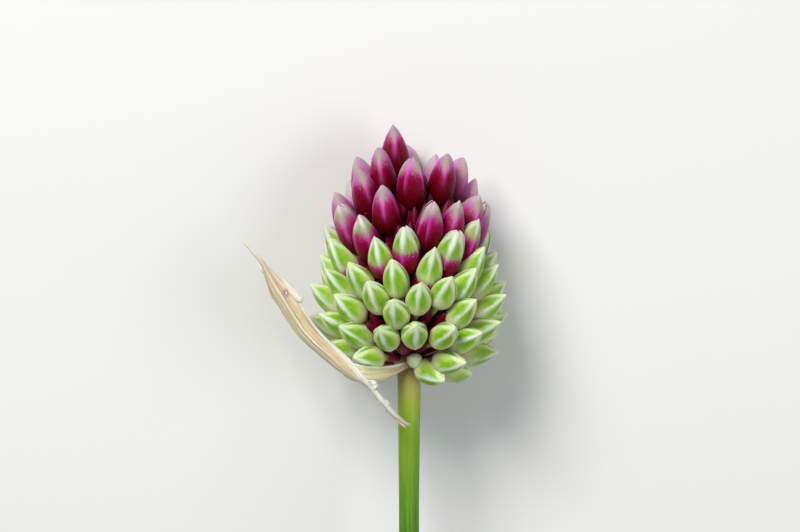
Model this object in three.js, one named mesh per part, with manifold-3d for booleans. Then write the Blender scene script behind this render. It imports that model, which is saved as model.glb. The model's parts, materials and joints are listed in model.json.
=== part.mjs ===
// An allium flower head in bud, as picked: a round scape, the umbel of closed buds that it carries,
// and the dry papery spathe that once wrapped the head and now hangs from under it by a narrow claw.
// The head lies on its side on a flat surface, on the buds underneath, and the short stalk stands a
// little clear of the surface.
//
// Millimetres. The plant is built upright in its own axes: +Y runs up the scape to the tip of the
// head, +Z faces the viewer, and the zero point is the spot at the top of the scape from which every
// bud stalk springs. One group then tips it over so that +Z points straight up from the surface.
import * as THREE from "three";
import { mergeVertices } from "three/addons/utils/BufferGeometryUtils.js";
import Module from "manifold-3d";

const wasm = await Module();
wasm.setup();

// Driving sizes
const GAP = 0.3; // between two pieces that touch on the plant
const LIE_ANGLE = THREE.MathUtils.degToRad(12); // how far the tip of the head dips as it lies
const REST_DEPTH = 11.6; // from the zero point down to the surface
const TIP_PRESS = 0.15; // how deep a bearing bud is pressed flat

const SCAPE_LENGTH = 28;
const SCAPE_TOP = -1.0;
const SCAPE_TOP_RADIUS = 1.38;
const SCAPE_RADIUS = 1.18;
const SCAPE_CUT_SLOPE = 0.35; // rise of the slanting cut across the stalk

const KNOB_RADIUS = 1.9; // the receptacle, where the bud stalks meet
const PEDICEL_RADIUS = 0.46;

const RIPE_LENGTH = 6.4; // a purple bud near the tip
const GREEN_LENGTH = 5.4; // a green bud on the lower half
const RIPE_GIRTH = 3.1;
const GREEN_GIRTH = 2.95;
const RIPE_LEAN = 33.5; // buds nearer the tip than this have turned purple

// The egg shape of the head: how far the bud tips reach from the zero point, at every ten degrees
// of lean away from the plant's axis.
const REACH_STEP = 10;
const REACH = [26.0, 25.2, 22.5, 18.9, 16.0, 14.6, 13.3, 12.0, 11.0, 9.9, 8.6, 7.2];

// The buds stand in loose rings. Each ring has a mean lean, a number of buds, the turn of its first
// bud from the viewer's side, and the seed of its own unevenness.
const RINGS = [
  { lean: 14.0, count: 8, turn: 3, seed: 3154061 },
  { lean: 22.5, count: 11, turn: -22, seed: 3127976 },
  { lean: 30.5, count: 12, turn: -3, seed: 1435797 },
  { lean: 38.0, count: 9, turn: 21, seed: 733126 },
  { lean: 45.0, count: 14, turn: -10, seed: 1563476 },
  { lean: 54.5, count: 14, turn: -7, seed: 1030743 },
  { lean: 68.0, count: 16, turn: 3.6, seed: 550950 },
  { lean: 82.0, count: 9, turn: 50, seed: 348741 },
  { lean: 97.0, count: 5, turn: 37, seed: 1467495 },
];
const LEAN_SWAY = 5;
const TURN_SWAY = 8;
const LEADER = { lean: 4.5, turn: -60, extra: 1.3 }; // the bud at the very tip stands proud
// No full bud grows where the spathe's claw stands, or low on the front beside it.
const BARE_SPOTS = [
  { lean: 94, turn: -32, spread: 20 },
  { lean: 82, turn: 8, spread: 10 },
];
const FINISH_SEED = 41;
const STUNTED = { lean: 88, turn: 18, reach: 3.7, length: 1.8, girth: 1.7 }; // it never filled out

// Crowding: neighbours push each other apart until no two are closer than this at their thickest.
const CROWD_GAP = 3.05;
const CROWD_DEPTH = 3.025;
const CROWD_PASSES = 30;
const CROWD_RATE = 0.3;

// A bud's half width at rings from its base to its tip, as shares of its girth and length.
const BUD_SIDES = 8;
const BUD_RINGS = [
  [0.0, 0.44],
  [0.16, 0.88],
  [0.45, 1.0],
  [0.8, 0.6],
];
const KEEL = 0.05; // the three outer petals are keeled, so a bud is faintly three-cornered
const STALK_SIDES = 5;
const STALK_SUNK = 0.5; // how far a stalk reaches up into its bud

// Uneven draws from 0 to 1, always the same for a seed.
function draws(seed) {
  let state = seed >>> 0;
  return () => {
    state = (Math.imul(state, 1664525) + 1013904223) >>> 0;
    return state / 4294967296;
  };
}

// The reach of the tips at a lean, on a smooth curve through the values of REACH.
function reach(lean) {
  const place = THREE.MathUtils.clamp(lean, 0, (REACH.length - 1) * REACH_STEP - 0.001) / REACH_STEP;
  const i = Math.floor(place);
  const f = place - i;
  const last = REACH.length - 1;
  const before = REACH[Math.abs(i - 1)];
  const here = REACH[i];
  const next = REACH[Math.min(i + 1, last)];
  const after = REACH[Math.min(i + 2, last)];
  const bend = 2 * before - 5 * here + 4 * next - after;
  const twist = 3 * (here - next) + after - before;
  return here + 0.5 * f * (next - before + f * (bend + f * twist));
}

// The way a bud points: lean is measured from the plant's axis, turn round it from the viewer's side.
function heading(lean, turn) {
  const a = THREE.MathUtils.degToRad(lean);
  const t = THREE.MathUtils.degToRad(turn);
  return new THREE.Vector3(Math.sin(a) * Math.sin(t), Math.cos(a), Math.sin(a) * Math.cos(t));
}

// Rings of buds, each with its own unevenness.
function scatter() {
  const buds = [{ lean: LEADER.lean, turn: LEADER.turn, extra: LEADER.extra }];
  for (const ring of RINGS) {
    const next = draws(ring.seed);
    for (let k = 0; k < ring.count; k++) {
      const lean = ring.lean + LEAN_SWAY * (2 * next() - 1);
      const turn = ring.turn + (k * 360) / ring.count + TURN_SWAY * (2 * next() - 1);
      buds.push({ lean, turn, extra: 0 });
    }
  }
  return buds;
}

// Neighbours push apart. The leading bud holds its place.
function crowd(buds) {
  for (let pass = 0; pass < CROWD_PASSES; pass++) {
    const middles = buds.map((b) => heading(b.lean, b.turn).multiplyScalar(reach(b.lean) - CROWD_DEPTH));
    const pushed = middles.map((middle, i) => {
      const push = new THREE.Vector3();
      middles.forEach((other, j) => {
        const away = middle.clone().sub(other);
        const distance = away.length();
        if (i !== j && distance < CROWD_GAP) push.addScaledVector(away, (CROWD_GAP - distance) / distance);
      });
      return middle.clone().addScaledVector(push, CROWD_RATE);
    });
    buds.forEach((bud, i) => {
      if (i === 0) return;
      const p = pushed[i];
      bud.lean = THREE.MathUtils.radToDeg(Math.atan2(Math.hypot(p.x, p.z), p.y));
      bud.turn = THREE.MathUtils.radToDeg(Math.atan2(p.x, p.z));
    });
  }
  return buds;
}

const isFull = (bud) =>
  BARE_SPOTS.every((spot) => bud.lean < spot.lean || Math.abs(bud.turn - spot.turn) > spot.spread);

const surfaceNormal = new THREE.Vector3(0, -Math.sin(LIE_ANGLE), Math.cos(LIE_ANGLE));
const heightOf = (point) => point.dot(surfaceNormal) + REST_DEPTH;

// How high the underside of a bud stands above the surface.
function underside(bud) {
  const slant = Math.sqrt(1 - bud.way.dot(surfaceNormal) ** 2);
  const heights = BUD_RINGS.map(([along, half]) => {
    const middle = bud.base.clone().addScaledVector(bud.way, along * bud.length);
    return heightOf(middle) - (bud.girth / 2) * half * slant;
  });
  return Math.min(heightOf(bud.tip), ...heights);
}

// Each bud's size, twist and place. A bud that would reach under the surface is eased back up to it,
// as the soft stalks give when the head is laid down.
function finishBuds(buds) {
  const next = draws(FINISH_SEED);
  for (const bud of buds) {
    const ripe = THREE.MathUtils.smoothstep(-bud.lean, -52, -22);
    const size = 1 + 0.05 * (2 * next() - 1);
    const low = THREE.MathUtils.smoothstep(bud.lean, 75, 100);
    bud.length = (GREEN_LENGTH + (RIPE_LENGTH - GREEN_LENGTH) * ripe) * size * (1 - 0.1 * low);
    bud.girth = (GREEN_GIRTH + (RIPE_GIRTH - GREEN_GIRTH) * ripe) * (1 + 0.04 * (2 * next() - 1));
    bud.twist = THREE.MathUtils.degToRad(20 * (2 * next() - 1));
    bud.way = heading(bud.lean, bud.turn);
    bud.tip = bud.way.clone().multiplyScalar(reach(bud.lean) + bud.extra);
    bud.base = bud.tip.clone().addScaledVector(bud.way, -bud.length);
    const raise = Math.max(0, -TIP_PRESS - underside(bud));
    bud.tip.addScaledVector(surfaceNormal, raise);
    bud.base.addScaledVector(surfaceNormal, raise);
    bud.ripe = bud.lean < RIPE_LEAN;
  }
  return buds;
}

function stuntedBud() {
  const way = heading(STUNTED.lean, STUNTED.turn);
  const tip = way.clone().multiplyScalar(STUNTED.reach);
  const base = tip.clone().addScaledVector(way, -STUNTED.length);
  return { ...STUNTED, way, tip, base, twist: 0 };
}

// A closed mesh from rings of points that share a number of sides, capped at both ends.
function closedRings(rings, first, last) {
  const sides = rings[0].length;
  const points = [first, ...rings.flat(), last];
  const at = (ring, side) => 1 + ring * sides + (side % sides);
  const faces = [];
  for (let j = 0; j < sides; j++) {
    faces.push([0, at(0, j + 1), at(0, j)]);
    for (let i = 0; i + 1 < rings.length; i++) {
      faces.push([at(i, j), at(i, j + 1), at(i + 1, j + 1)], [at(i, j), at(i + 1, j + 1), at(i + 1, j)]);
    }
    faces.push([at(rings.length - 1, j), at(rings.length - 1, j + 1), points.length - 1]);
  }
  return { points, faces };
}

// Solids for joining and cutting
function solidOf(numbers, corners) {
  const vertProperties = new Float32Array(numbers);
  const triVerts = new Uint32Array(corners);
  return new wasm.Manifold(new wasm.Mesh({ numProp: 3, vertProperties, triVerts }));
}

function solidFrom({ points, faces }) {
  const made = solidOf(points.flatMap((p) => [p.x, p.y, p.z]), faces.flat());
  if (made.volume() > 0) return made;
  return solidFrom({ points, faces: faces.map(([a, b, c]) => [a, c, b]) });
}

function solidFromGeometry(geometry) {
  const plain = geometry.clone();
  plain.deleteAttribute("normal");
  plain.deleteAttribute("uv");
  const merged = mergeVertices(plain, 1e-4);
  return solidOf(merged.attributes.position.array, merged.index.array);
}

function geometryFrom(solid) {
  const mesh = solid.getMesh();
  const geometry = new THREE.BufferGeometry();
  geometry.setAttribute("position", new THREE.BufferAttribute(new Float32Array(mesh.vertProperties), 3));
  geometry.setIndex(new THREE.BufferAttribute(new Uint32Array(mesh.triVerts), 1));
  const flat = geometry.toNonIndexed();
  flat.computeVertexNormals();
  return flat;
}

// Axes of a bud: along it, across its front keel, and sideways. The front keel faces out and down.
function budAxes(bud) {
  const t = THREE.MathUtils.degToRad(bud.turn);
  const a = THREE.MathUtils.degToRad(bud.lean);
  const keel = new THREE.Vector3(Math.cos(a) * Math.sin(t), -Math.sin(a), Math.cos(a) * Math.cos(t));
  keel.applyAxisAngle(bud.way, bud.twist);
  return { keel, side: new THREE.Vector3().crossVectors(bud.way, keel) };
}

// One bud, fatter by margin all round where it is used to cut a clearance.
function budSolid(bud, margin = 0) {
  const { keel, side } = budAxes(bud);
  const rings = BUD_RINGS.map(([along, half]) => {
    const middle = bud.base.clone().addScaledVector(bud.way, along * bud.length);
    return Array.from({ length: BUD_SIDES }, (_, j) => {
      const angle = (2 * Math.PI * j) / BUD_SIDES;
      const radius = (bud.girth / 2) * half * (1 + KEEL * Math.cos(3 * angle)) + margin;
      return middle
        .clone()
        .addScaledVector(keel, radius * Math.cos(angle))
        .addScaledVector(side, radius * Math.sin(angle));
    });
  });
  const first = bud.base.clone().addScaledVector(bud.way, -margin);
  const last = bud.tip.clone().addScaledVector(bud.way, margin);
  return solidFrom(closedRings(rings, first, last));
}

// A straight round stalk between two points.
function stalk(from, to, radius) {
  const way = to.clone().sub(from).normalize();
  const across = new THREE.Vector3(0, 1, 0).cross(way);
  if (across.length() < 0.1) across.set(1, 0, 0).cross(way);
  across.normalize();
  const other = new THREE.Vector3().crossVectors(way, across);
  const ringAt = (centre) =>
    Array.from({ length: STALK_SIDES }, (_, j) => {
      const angle = (2 * Math.PI * j) / STALK_SIDES;
      return centre
        .clone()
        .addScaledVector(across, radius * Math.cos(angle))
        .addScaledVector(other, radius * Math.sin(angle));
    });
  return solidFrom(closedRings([ringAt(from), ringAt(to)], from, to));
}

function latheSolid(profile, sides) {
  return solidFromGeometry(new THREE.LatheGeometry(profile.map(([r, y]) => new THREE.Vector2(r, y)), sides));
}

// Scape: round, a little wider under the head, and cut on a slant at its foot.
const SCAPE_SIDES = 24;
const scapeProfile = [
  [0, -SCAPE_LENGTH],
  [SCAPE_RADIUS, -SCAPE_LENGTH],
  [SCAPE_RADIUS, -16],
  [SCAPE_RADIUS + 0.08, -9],
  [SCAPE_TOP_RADIUS - 0.04, -4],
  [SCAPE_TOP_RADIUS, SCAPE_TOP],
  [0, SCAPE_TOP],
];
const scape = latheSolid(scapeProfile, SCAPE_SIDES).warp((point) => {
  if (point[1] < -SCAPE_LENGTH + 0.01) point[1] += SCAPE_CUT_SLOPE * point[0];
});

// Purple buds: the ripest ones round the tip, with the crimson bundle of their stalks inside the
// head, which narrows to a foot in the middle of the receptacle.
const CORE_SIDES = 18;
const corePoint = (lean, distance) => {
  const a = THREE.MathUtils.degToRad(lean);
  return [distance * Math.sin(a), distance * Math.cos(a)];
};
const coreProfile = (margin) => [
  [0, 1.4 - margin],
  [0.4 + margin, 1.4 - margin],
  [0.5 + margin, 2.3],
  [corePoint(23, 11)[0] + margin, corePoint(23, 11)[1]],
  [corePoint(28, 13)[0] + margin, corePoint(28, 13)[1]],
  [corePoint(20, 16.6)[0] + margin, corePoint(20, 16.6)[1] + margin],
  [corePoint(9, 18.9)[0] + margin, corePoint(9, 18.9)[1] + margin],
  [0, 19.6 + margin],
];

const buds = finishBuds(crowd(scatter()).filter(isFull));
const ripeBuds = buds.filter((bud) => bud.ripe);
const greenBuds = [...buds.filter((bud) => !bud.ripe), stuntedBud()];

const BUNDLE_LEAN = 18; // the purple buds' stalks end inside the bundle, at this lean and reach
const BUNDLE_REACH = 11.5;

function ripePieces(bud, margin) {
  const lean = Math.min(bud.lean, BUNDLE_LEAN);
  const root = heading(lean, bud.turn).multiplyScalar(Math.min(bud.base.length() - 1, BUNDLE_REACH));
  const neck = bud.base.clone().addScaledVector(bud.way, STALK_SUNK);
  return [budSolid(bud, margin), stalk(root, neck, PEDICEL_RADIUS + margin)];
}

function purpleSolid(margin) {
  return wasm.Manifold.union([
    latheSolid(coreProfile(margin), CORE_SIDES),
    ...ripeBuds.flatMap((bud) => ripePieces(bud, margin)),
  ]);
}

// Green buds: the lower ones, on stalks that spread from the rim of the receptacle.
const knobProfile = [
  [0, SCAPE_TOP + GAP],
  [SCAPE_TOP_RADIUS, SCAPE_TOP + GAP],
  [KNOB_RADIUS, -0.1],
  [KNOB_RADIUS * 0.86, 0.7],
  [0, 1.05],
];
const ROOT_REACH = 0.8; // the stalks start this far from the zero point
const ROOT_LOWEST = -0.2;

function greenPieces(bud) {
  const root = bud.base.clone().normalize().multiplyScalar(ROOT_REACH);
  root.y = Math.max(root.y, ROOT_LOWEST);
  const neck = bud.base.clone().addScaledVector(bud.way, STALK_SUNK);
  return [budSolid(bud), stalk(root, neck, PEDICEL_RADIUS)];
}

// The surface that the head lies on, which presses the bearing buds flat.
const SURFACE_BLOCK = { across: 200, deep: 20 };
const surfaceBlock = new THREE.BoxGeometry(SURFACE_BLOCK.across, SURFACE_BLOCK.across, SURFACE_BLOCK.deep);
surfaceBlock.translate(0, 0, -REST_DEPTH - SURFACE_BLOCK.deep / 2);
surfaceBlock.rotateX(LIE_ANGLE);
const surface = solidFromGeometry(surfaceBlock);

// The one body that holds together, without the slivers that a cut may leave.
function largest(solid) {
  return solid.decompose().sort((a, b) => b.volume() - a.volume())[0];
}
const purple = largest(purpleSolid(0).subtract(surface));
const green = largest(
  wasm.Manifold.union([latheSolid(knobProfile, CORE_SIDES), ...greenBuds.flatMap(greenPieces)])
    .subtract(purpleSolid(GAP))
    .subtract(surface),
);

// Spathe: a dry, folded blade. Its narrow claw springs from under the head, the body rises beside
// the head to a thin beak, and a torn, rolled margin hangs down across the stalk.
const SHEET = 0.6; // thickness
const BODY_STATIONS = 30;
const CLAW_STATIONS = 9;
const ACROSS = [-1, -0.5, 0, 0.5, 1];
const FOLD = [0, 0.34, -0.12, -0.3, 0.3]; // how far each place in ACROSS stands out from the sheet

// From the beak to the tail: [x, y, z, width, fold].
const BODY_LINE = [
  [-18.7, 13.3, 5.2, 0.5, 0.1],
  [-16.4, 11.1, 5.7, 1.0, 0.2],
  [-14.9, 8.9, 6.3, 2.0, 0.7],
  [-13.3, 6.2, 7.1, 2.7, 1.1],
  [-11.5, 3.7, 7.9, 2.8, 1.2],
  [-9.7, 1.6, 8.6, 2.8, 1.2],
  [-7.4, -0.5, 9.1, 2.1, 0.9],
  [-5.5, -2.0, 8.9, 1.4, 0.5],
  [-3.6, -4.0, 8.0, 0.9, 0.2],
  [-0.2, -7.2, 5.9, 0.6, 0.1],
];
// From the stalk outwards
const CLAW_LINE = [
  [-0.55, -0.6, 2.4, 0.5, 0.1],
  [-1.4, -1.0, 3.2, 0.9, 0.2],
  [-2.7, -1.35, 5.0, 1.3, 0.4],
  [-4.2, -1.55, 7.2, 1.6, 0.5],
  [-5.6, -1.7, 9.1, 1.2, 0.3],
];
const BODY_FACES = new THREE.Vector3(-0.25, -0.25, 0.93).normalize();
const CLAW_FACES = new THREE.Vector3(0.75, -0.25, 0.6).normalize();

// A blade through a line of stations, with its width square to the way it faces.
function blade(stations, count, facing) {
  const places = stations.map(([x, y, z]) => new THREE.Vector3(x, y, z));
  const line = new THREE.CatmullRomCurve3(places, false, "centripetal");
  const between = (share, column) => {
    const place = share * (stations.length - 1);
    const i = Math.min(Math.floor(place), stations.length - 2);
    return THREE.MathUtils.lerp(stations[i][column], stations[i + 1][column], place - i);
  };
  const rings = [];
  for (let k = 0; k <= count; k++) {
    const share = k / count;
    const middle = line.getPoint(share);
    const along = line.getTangent(share);
    const across = new THREE.Vector3().crossVectors(facing, along).normalize();
    const out = new THREE.Vector3().crossVectors(along, across).normalize();
    const half = between(share, 3) / 2;
    const fold = between(share, 4);
    const face = (lift) =>
      ACROSS.map((u, n) =>
        middle
          .clone()
          .addScaledVector(across, u * half)
          .addScaledVector(out, FOLD[n] * fold + lift),
      );
    rings.push([...face(SHEET / 2), ...face(-SHEET / 2).reverse()]);
  }

  const n = ACROSS.length;
  const at = (ring, place) => ring * 2 * n + (place % (2 * n));
  const faces = [];
  for (let k = 0; k < count; k++) {
    for (let j = 0; j < 2 * n; j++) {
      // Both faces of the sheet are split along the same diagonal.
      const [a, b, c, d] = [at(k, j), at(k, j + 1), at(k + 1, j + 1), at(k + 1, j)];
      if (j < n) faces.push([a, b, c], [a, c, d]);
      else faces.push([a, b, d], [b, c, d]);
    }
  }
  for (let j = 0; j + 1 < n; j++) {
    const back = 2 * n - 1 - j;
    for (const ring of [0, count]) {
      const end = [
        [at(ring, j), at(ring, back), at(ring, j + 1)],
        [at(ring, j + 1), at(ring, back), at(ring, back - 1)],
      ];
      for (const [a, b, c] of end) faces.push(ring === 0 ? [a, b, c] : [a, c, b]);
    }
  }
  return solidFrom({ points: rings.flat(), faces });
}
const spathe = blade(BODY_LINE, BODY_STATIONS, BODY_FACES).add(blade(CLAW_LINE, CLAW_STATIONS, CLAW_FACES));

// The plant, laid down
const finish = (color, roughness) => new THREE.MeshStandardMaterial({ color, roughness, metalness: 0 });
const plant = new THREE.Group();
plant.rotation.x = -LIE_ANGLE;

function add(name, solid, material) {
  const mesh = new THREE.Mesh(geometryFrom(solid), material);
  mesh.name = name;
  plant.add(mesh);
}
add("scape", scape, finish(0x8ab03a, 0.5));
add("purple_buds", purple, finish(0x9a1858, 0.45));
add("green_buds", green, finish(0x8fbe3c, 0.45));
add("spathe", spathe, finish(0xd9c8a0, 0.85));

// The zero point of the part is under the middle of the whole head and stalk, on the surface.
const part = new THREE.Group();
part.add(plant);
part.updateMatrixWorld(true);
const box = new THREE.Box3().setFromObject(part, true);
part.position.set(-(box.min.x + box.max.x) / 2, -(box.min.y + box.max.y) / 2, REST_DEPTH);

export default part;
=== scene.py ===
# %% [markdown]
# # An allium flower head, as picked
#
# This lesson dresses one small natural object: the flower head of a drumstick allium, still in bud,
# on a short piece of its stalk. The stalk is called a scape. About a hundred closed buds stand on
# thin stalks of their own, the pedicels, and make up an egg-shaped umbel. Under it hangs the spathe,
# the papery sheath that wrapped the whole head before it swelled.
#
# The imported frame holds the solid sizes. Everything made here is in metres in that same frame, and
# is worked out from a few real sizes in millimetres.

# %% Load the frame
import json
import math

import bpy
import numpy as np
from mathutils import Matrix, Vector

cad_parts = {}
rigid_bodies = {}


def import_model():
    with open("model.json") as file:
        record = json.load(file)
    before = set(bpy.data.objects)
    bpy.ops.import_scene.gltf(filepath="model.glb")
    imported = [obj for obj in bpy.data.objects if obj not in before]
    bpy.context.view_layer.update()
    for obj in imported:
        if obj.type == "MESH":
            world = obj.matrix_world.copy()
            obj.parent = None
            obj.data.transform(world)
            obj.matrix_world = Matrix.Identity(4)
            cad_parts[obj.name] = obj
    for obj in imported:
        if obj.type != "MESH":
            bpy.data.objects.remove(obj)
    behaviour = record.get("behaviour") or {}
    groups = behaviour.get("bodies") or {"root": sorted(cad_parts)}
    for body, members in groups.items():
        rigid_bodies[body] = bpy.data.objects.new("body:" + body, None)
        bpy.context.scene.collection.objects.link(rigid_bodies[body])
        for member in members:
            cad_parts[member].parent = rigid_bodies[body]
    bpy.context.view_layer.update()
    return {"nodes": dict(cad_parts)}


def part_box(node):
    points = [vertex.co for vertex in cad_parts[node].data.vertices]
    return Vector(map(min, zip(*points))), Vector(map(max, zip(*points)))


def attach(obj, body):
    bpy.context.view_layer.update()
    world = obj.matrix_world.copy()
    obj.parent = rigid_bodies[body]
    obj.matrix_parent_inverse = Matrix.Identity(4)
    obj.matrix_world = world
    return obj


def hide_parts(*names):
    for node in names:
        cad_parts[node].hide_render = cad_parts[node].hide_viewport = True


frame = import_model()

print("nodes in the frame:", sorted(frame["nodes"]))

# %% [markdown]
# ## The plant's own axes
#
# A plant is easiest to describe upright. Here +Y runs up the scape to the tip of the head, +Z faces
# the viewer, and the zero point is the spot on top of the scape where all the bud stalks meet. The
# cut head lies on its side with its tip dipped a little, so one function lays any point down and
# turns millimetres into metres. The scape's solid in the frame shows where the zero point lies.

# %% Lay the plant down
MM = 0.001
LIE_ANGLE = math.radians(12)
REST_DEPTH = 11.6  # from the zero point down to the surface
SCAPE_TOP = -1.0
SCAPE_TOP_RADIUS = 1.38

LIE_COS = math.cos(LIE_ANGLE)
LIE_SIN = math.sin(LIE_ANGLE)
scape_low, scape_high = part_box("scape")
zero_point = np.array([
    (scape_low.x + scape_high.x) / 2,
    scape_high.y - (SCAPE_TOP * LIE_COS + SCAPE_TOP_RADIUS * LIE_SIN) * MM,
    REST_DEPTH * MM,
])


def turned(ways):
    """Directions from the plant's axes, as directions in the frame."""
    ways = np.asarray(ways, float)
    y = ways[..., 1] * LIE_COS + ways[..., 2] * LIE_SIN
    z = ways[..., 2] * LIE_COS - ways[..., 1] * LIE_SIN
    return np.stack([ways[..., 0], y, z], -1)


def laid(points):
    """Points in the plant's axes, in millimetres, as places in the frame, in metres."""
    return turned(points) * MM + zero_point


print("zero point of the plant, mm:", (zero_point / MM).round(2))

# %% [markdown]
# ## Camera
#
# The picture that the head was modelled from looks at it square to the scape, from far enough away
# that near and far buds are the same size. A long lens does that. The aim and the width of the view
# are given in the plant's own millimetres, so they stay true whatever way the plant lies.

# %% Set up the camera
PICTURE_WIDTH = 800
PICTURE_HEIGHT = 532
PICTURE_SCALE = 8.7  # pixels to a millimetre at the plant's axis
ZERO_PIXEL = (409, 360)
VIEW_DISTANCE = 600.0
SENSOR_WIDTH = 36.0

aim = np.array([
    (PICTURE_WIDTH / 2 - ZERO_PIXEL[0]) / PICTURE_SCALE,
    (ZERO_PIXEL[1] - PICTURE_HEIGHT / 2) / PICTURE_SCALE,
    0.0,
])
camera_data = bpy.data.cameras.new("camera")
camera_data.sensor_width = SENSOR_WIDTH
camera_data.lens = SENSOR_WIDTH * VIEW_DISTANCE * PICTURE_SCALE / PICTURE_WIDTH
camera_data.clip_start = 0.01
camera = bpy.data.objects.new("camera", camera_data)
bpy.context.scene.collection.objects.link(camera)
camera.location = laid(aim + np.array([0, 0, VIEW_DISTANCE]))
camera.rotation_euler = (-LIE_ANGLE, 0, 0)
bpy.context.scene.camera = camera
print("lens, mm:", round(camera_data.lens, 1))

# %% [markdown]
# ## Floor and light
#
# A pale floor and big soft lamps show a natural thing without drama. The main lamp stands to the
# upper left, as it does in the picture, where the upper left sides of the buds shine. A weaker lamp
# opposite keeps the shadows between the buds dark but readable.

# %% Make the floor and the lamps
FLOOR_HALF = 1500.0
HEAD_MIDDLE = (0.0, 9.0, 0.0)  # in the plant's axes
floor_mesh = bpy.data.meshes.new("floor")
floor_corners = [(-1, -1, 0), (1, -1, 0), (1, 1, 0), (-1, 1, 0)]
floor_mesh.from_pydata([Vector(c) * FLOOR_HALF * MM for c in floor_corners], [], [(0, 1, 2, 3)])
floor = bpy.data.objects.new("floor", floor_mesh)
bpy.context.scene.collection.objects.link(floor)


def lamp(name, place, size, power, colour):
    """A square soft lamp at a place in the plant's axes, facing the middle of the head."""
    data = bpy.data.lights.new(name, "AREA")
    data.size = size * MM
    data.energy = power
    data.color = colour
    obj = bpy.data.objects.new(name, data)
    bpy.context.scene.collection.objects.link(obj)
    obj.location = laid(place)
    towards = Vector(laid(HEAD_MIDDLE)) - obj.location
    obj.rotation_euler = towards.to_track_quat("-Z", "Y").to_euler()


lamp("main_lamp", (-200, 270, 470), 240, 3.4, (1.0, 0.98, 0.95))
lamp("side_lamp", (330, -60, 380), 300, 0.9, (0.95, 0.98, 1.0))

world = bpy.data.worlds.new("studio")
world.use_nodes = True
world.node_tree.nodes["Background"].inputs["Color"].default_value = (0.93, 0.96, 1.0, 1)
world.node_tree.nodes["Background"].inputs["Strength"].default_value = 0.24
bpy.context.scene.world = world
bpy.context.scene.view_settings.view_transform = "Standard"
print("lamps:", sorted(light.name for light in bpy.data.lights))

# %% [markdown]
# ## Shader maths as plain expressions
#
# Petals and membranes are coloured by rules such as "paler towards the margin". Such a rule reads
# well as an expression, so a small class wraps a socket and lets `+`, `-`, `*` and `/` add the Math
# nodes. A second class holds one material and makes any other node from a single method.

# %% Wrap sockets and materials


class Socket:
    """An output socket of numbers that takes part in Python expressions."""

    def __init__(self, finish, output):
        self.finish = finish
        self.output = output

    def math(self, operation, *others):
        made = self.finish.node("ShaderNodeMath", {"operation": operation}, *[self, *others])
        return Socket(self.finish, made.outputs[0])

    def __add__(self, other):
        return self.math("ADD", other)

    __radd__ = __add__

    def __sub__(self, other):
        return self.math("SUBTRACT", other)

    def __rsub__(self, other):
        made = self.finish.node("ShaderNodeMath", {"operation": "SUBTRACT"}, other, self)
        return Socket(self.finish, made.outputs[0])

    def __mul__(self, other):
        return self.math("MULTIPLY", other)

    __rmul__ = __mul__

    def __truediv__(self, other):
        return self.math("DIVIDE", other)

    def __abs__(self):
        return self.math("ABSOLUTE")


class Finish:
    """A material and the nodes that make its look."""

    def __init__(self, name, **constants):
        self.material = bpy.data.materials.new(name)
        self.material.use_nodes = True
        self.tree = self.material.node_tree
        self.surface = self.tree.nodes["Principled BSDF"]
        for socket, value in constants.items():
            self.surface.inputs[socket.replace("_", " ")].default_value = value

    def node(self, kind, settings=None, *values, **named):
        """Any node: its settings first, then what its sockets hold or are linked to."""
        made = self.tree.nodes.new(kind)
        for key, value in (settings or {}).items():
            setattr(made, key, value)
        for place, value in [*enumerate(values), *named.items()]:
            if value is None:
                continue
            socket = made.inputs[place.replace("_", " ") if isinstance(place, str) else place]
            self.feed(socket, value)
        return made

    def feed(self, socket, value):
        if isinstance(value, Socket):
            self.tree.links.new(value.output, socket)
        elif isinstance(value, bpy.types.NodeSocket):
            self.tree.links.new(value, socket)
        else:
            socket.default_value = value

    def attribute(self, name):
        made = self.node("ShaderNodeAttribute", {"attribute_name": name})
        return Socket(self, made.outputs["Fac"])

    def vector(self, x=0.0, y=0.0, z=0.0):
        return self.node("ShaderNodeCombineXYZ", None, x, y, z).outputs[0]

    def places(self):
        """The piece's own places, in millimetres."""
        coordinates = self.node("ShaderNodeTexCoord").outputs["Object"]
        made = self.node("ShaderNodeVectorMath", {"operation": "SCALE"}, coordinates, Scale=1 / MM)
        return made.outputs[0]

    def cloud(self, vector, scale=1.0, detail=2.0, roughness=0.5):
        """Soft noise from 0 to 1."""
        made = self.node("ShaderNodeTexNoise", None, vector,
                         Scale=scale, Detail=detail, Roughness=roughness)
        return Socket(self, made.outputs["Fac"])

    def rise(self, value, start, end, low=0.0, high=1.0):
        """A smooth step of value, from low at start to high at end."""
        settings = {"interpolation_type": "SMOOTHSTEP"}
        made = self.node("ShaderNodeMapRange", settings, value, start, end, low, high)
        return Socket(self, made.outputs[0])

    def mix(self, factor, first, second):
        """First colour where factor is 0, second where it is 1."""
        made = self.node("ShaderNodeMix", {"data_type": "RGBA"})
        self.feed(made.inputs["Factor"], factor)
        self.feed(made.inputs[6], first)
        self.feed(made.inputs[7], second)
        return made.outputs[2]

    def coats(self, colour, layers):
        """A colour with others laid over it in turn, each as strong as its factor."""
        for factor, layer in layers:
            colour = self.mix(factor, colour, layer)
        return colour

    def ramp(self, value, stops):
        """A colour from a list of (place, colour), blended smoothly."""
        made = self.node("ShaderNodeValToRGB", None, value)
        elements = made.color_ramp.elements
        while len(elements) < len(stops):
            elements.new(0.5)
        for element, (place, colour) in zip(elements, stops):
            element.position = place
            element.color = colour
        return made.outputs["Color"]

    def bump(self, height, strength, distance):
        made = self.node("ShaderNodeBump", None, Strength=strength, Distance=distance, Height=height)
        self.tree.links.new(made.outputs[0], self.surface.inputs["Normal"])

    def colour(self, value):
        self.feed(self.surface.inputs["Base Color"], value)

    def roughness(self, value):
        self.feed(self.surface.inputs["Roughness"], value)


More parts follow.
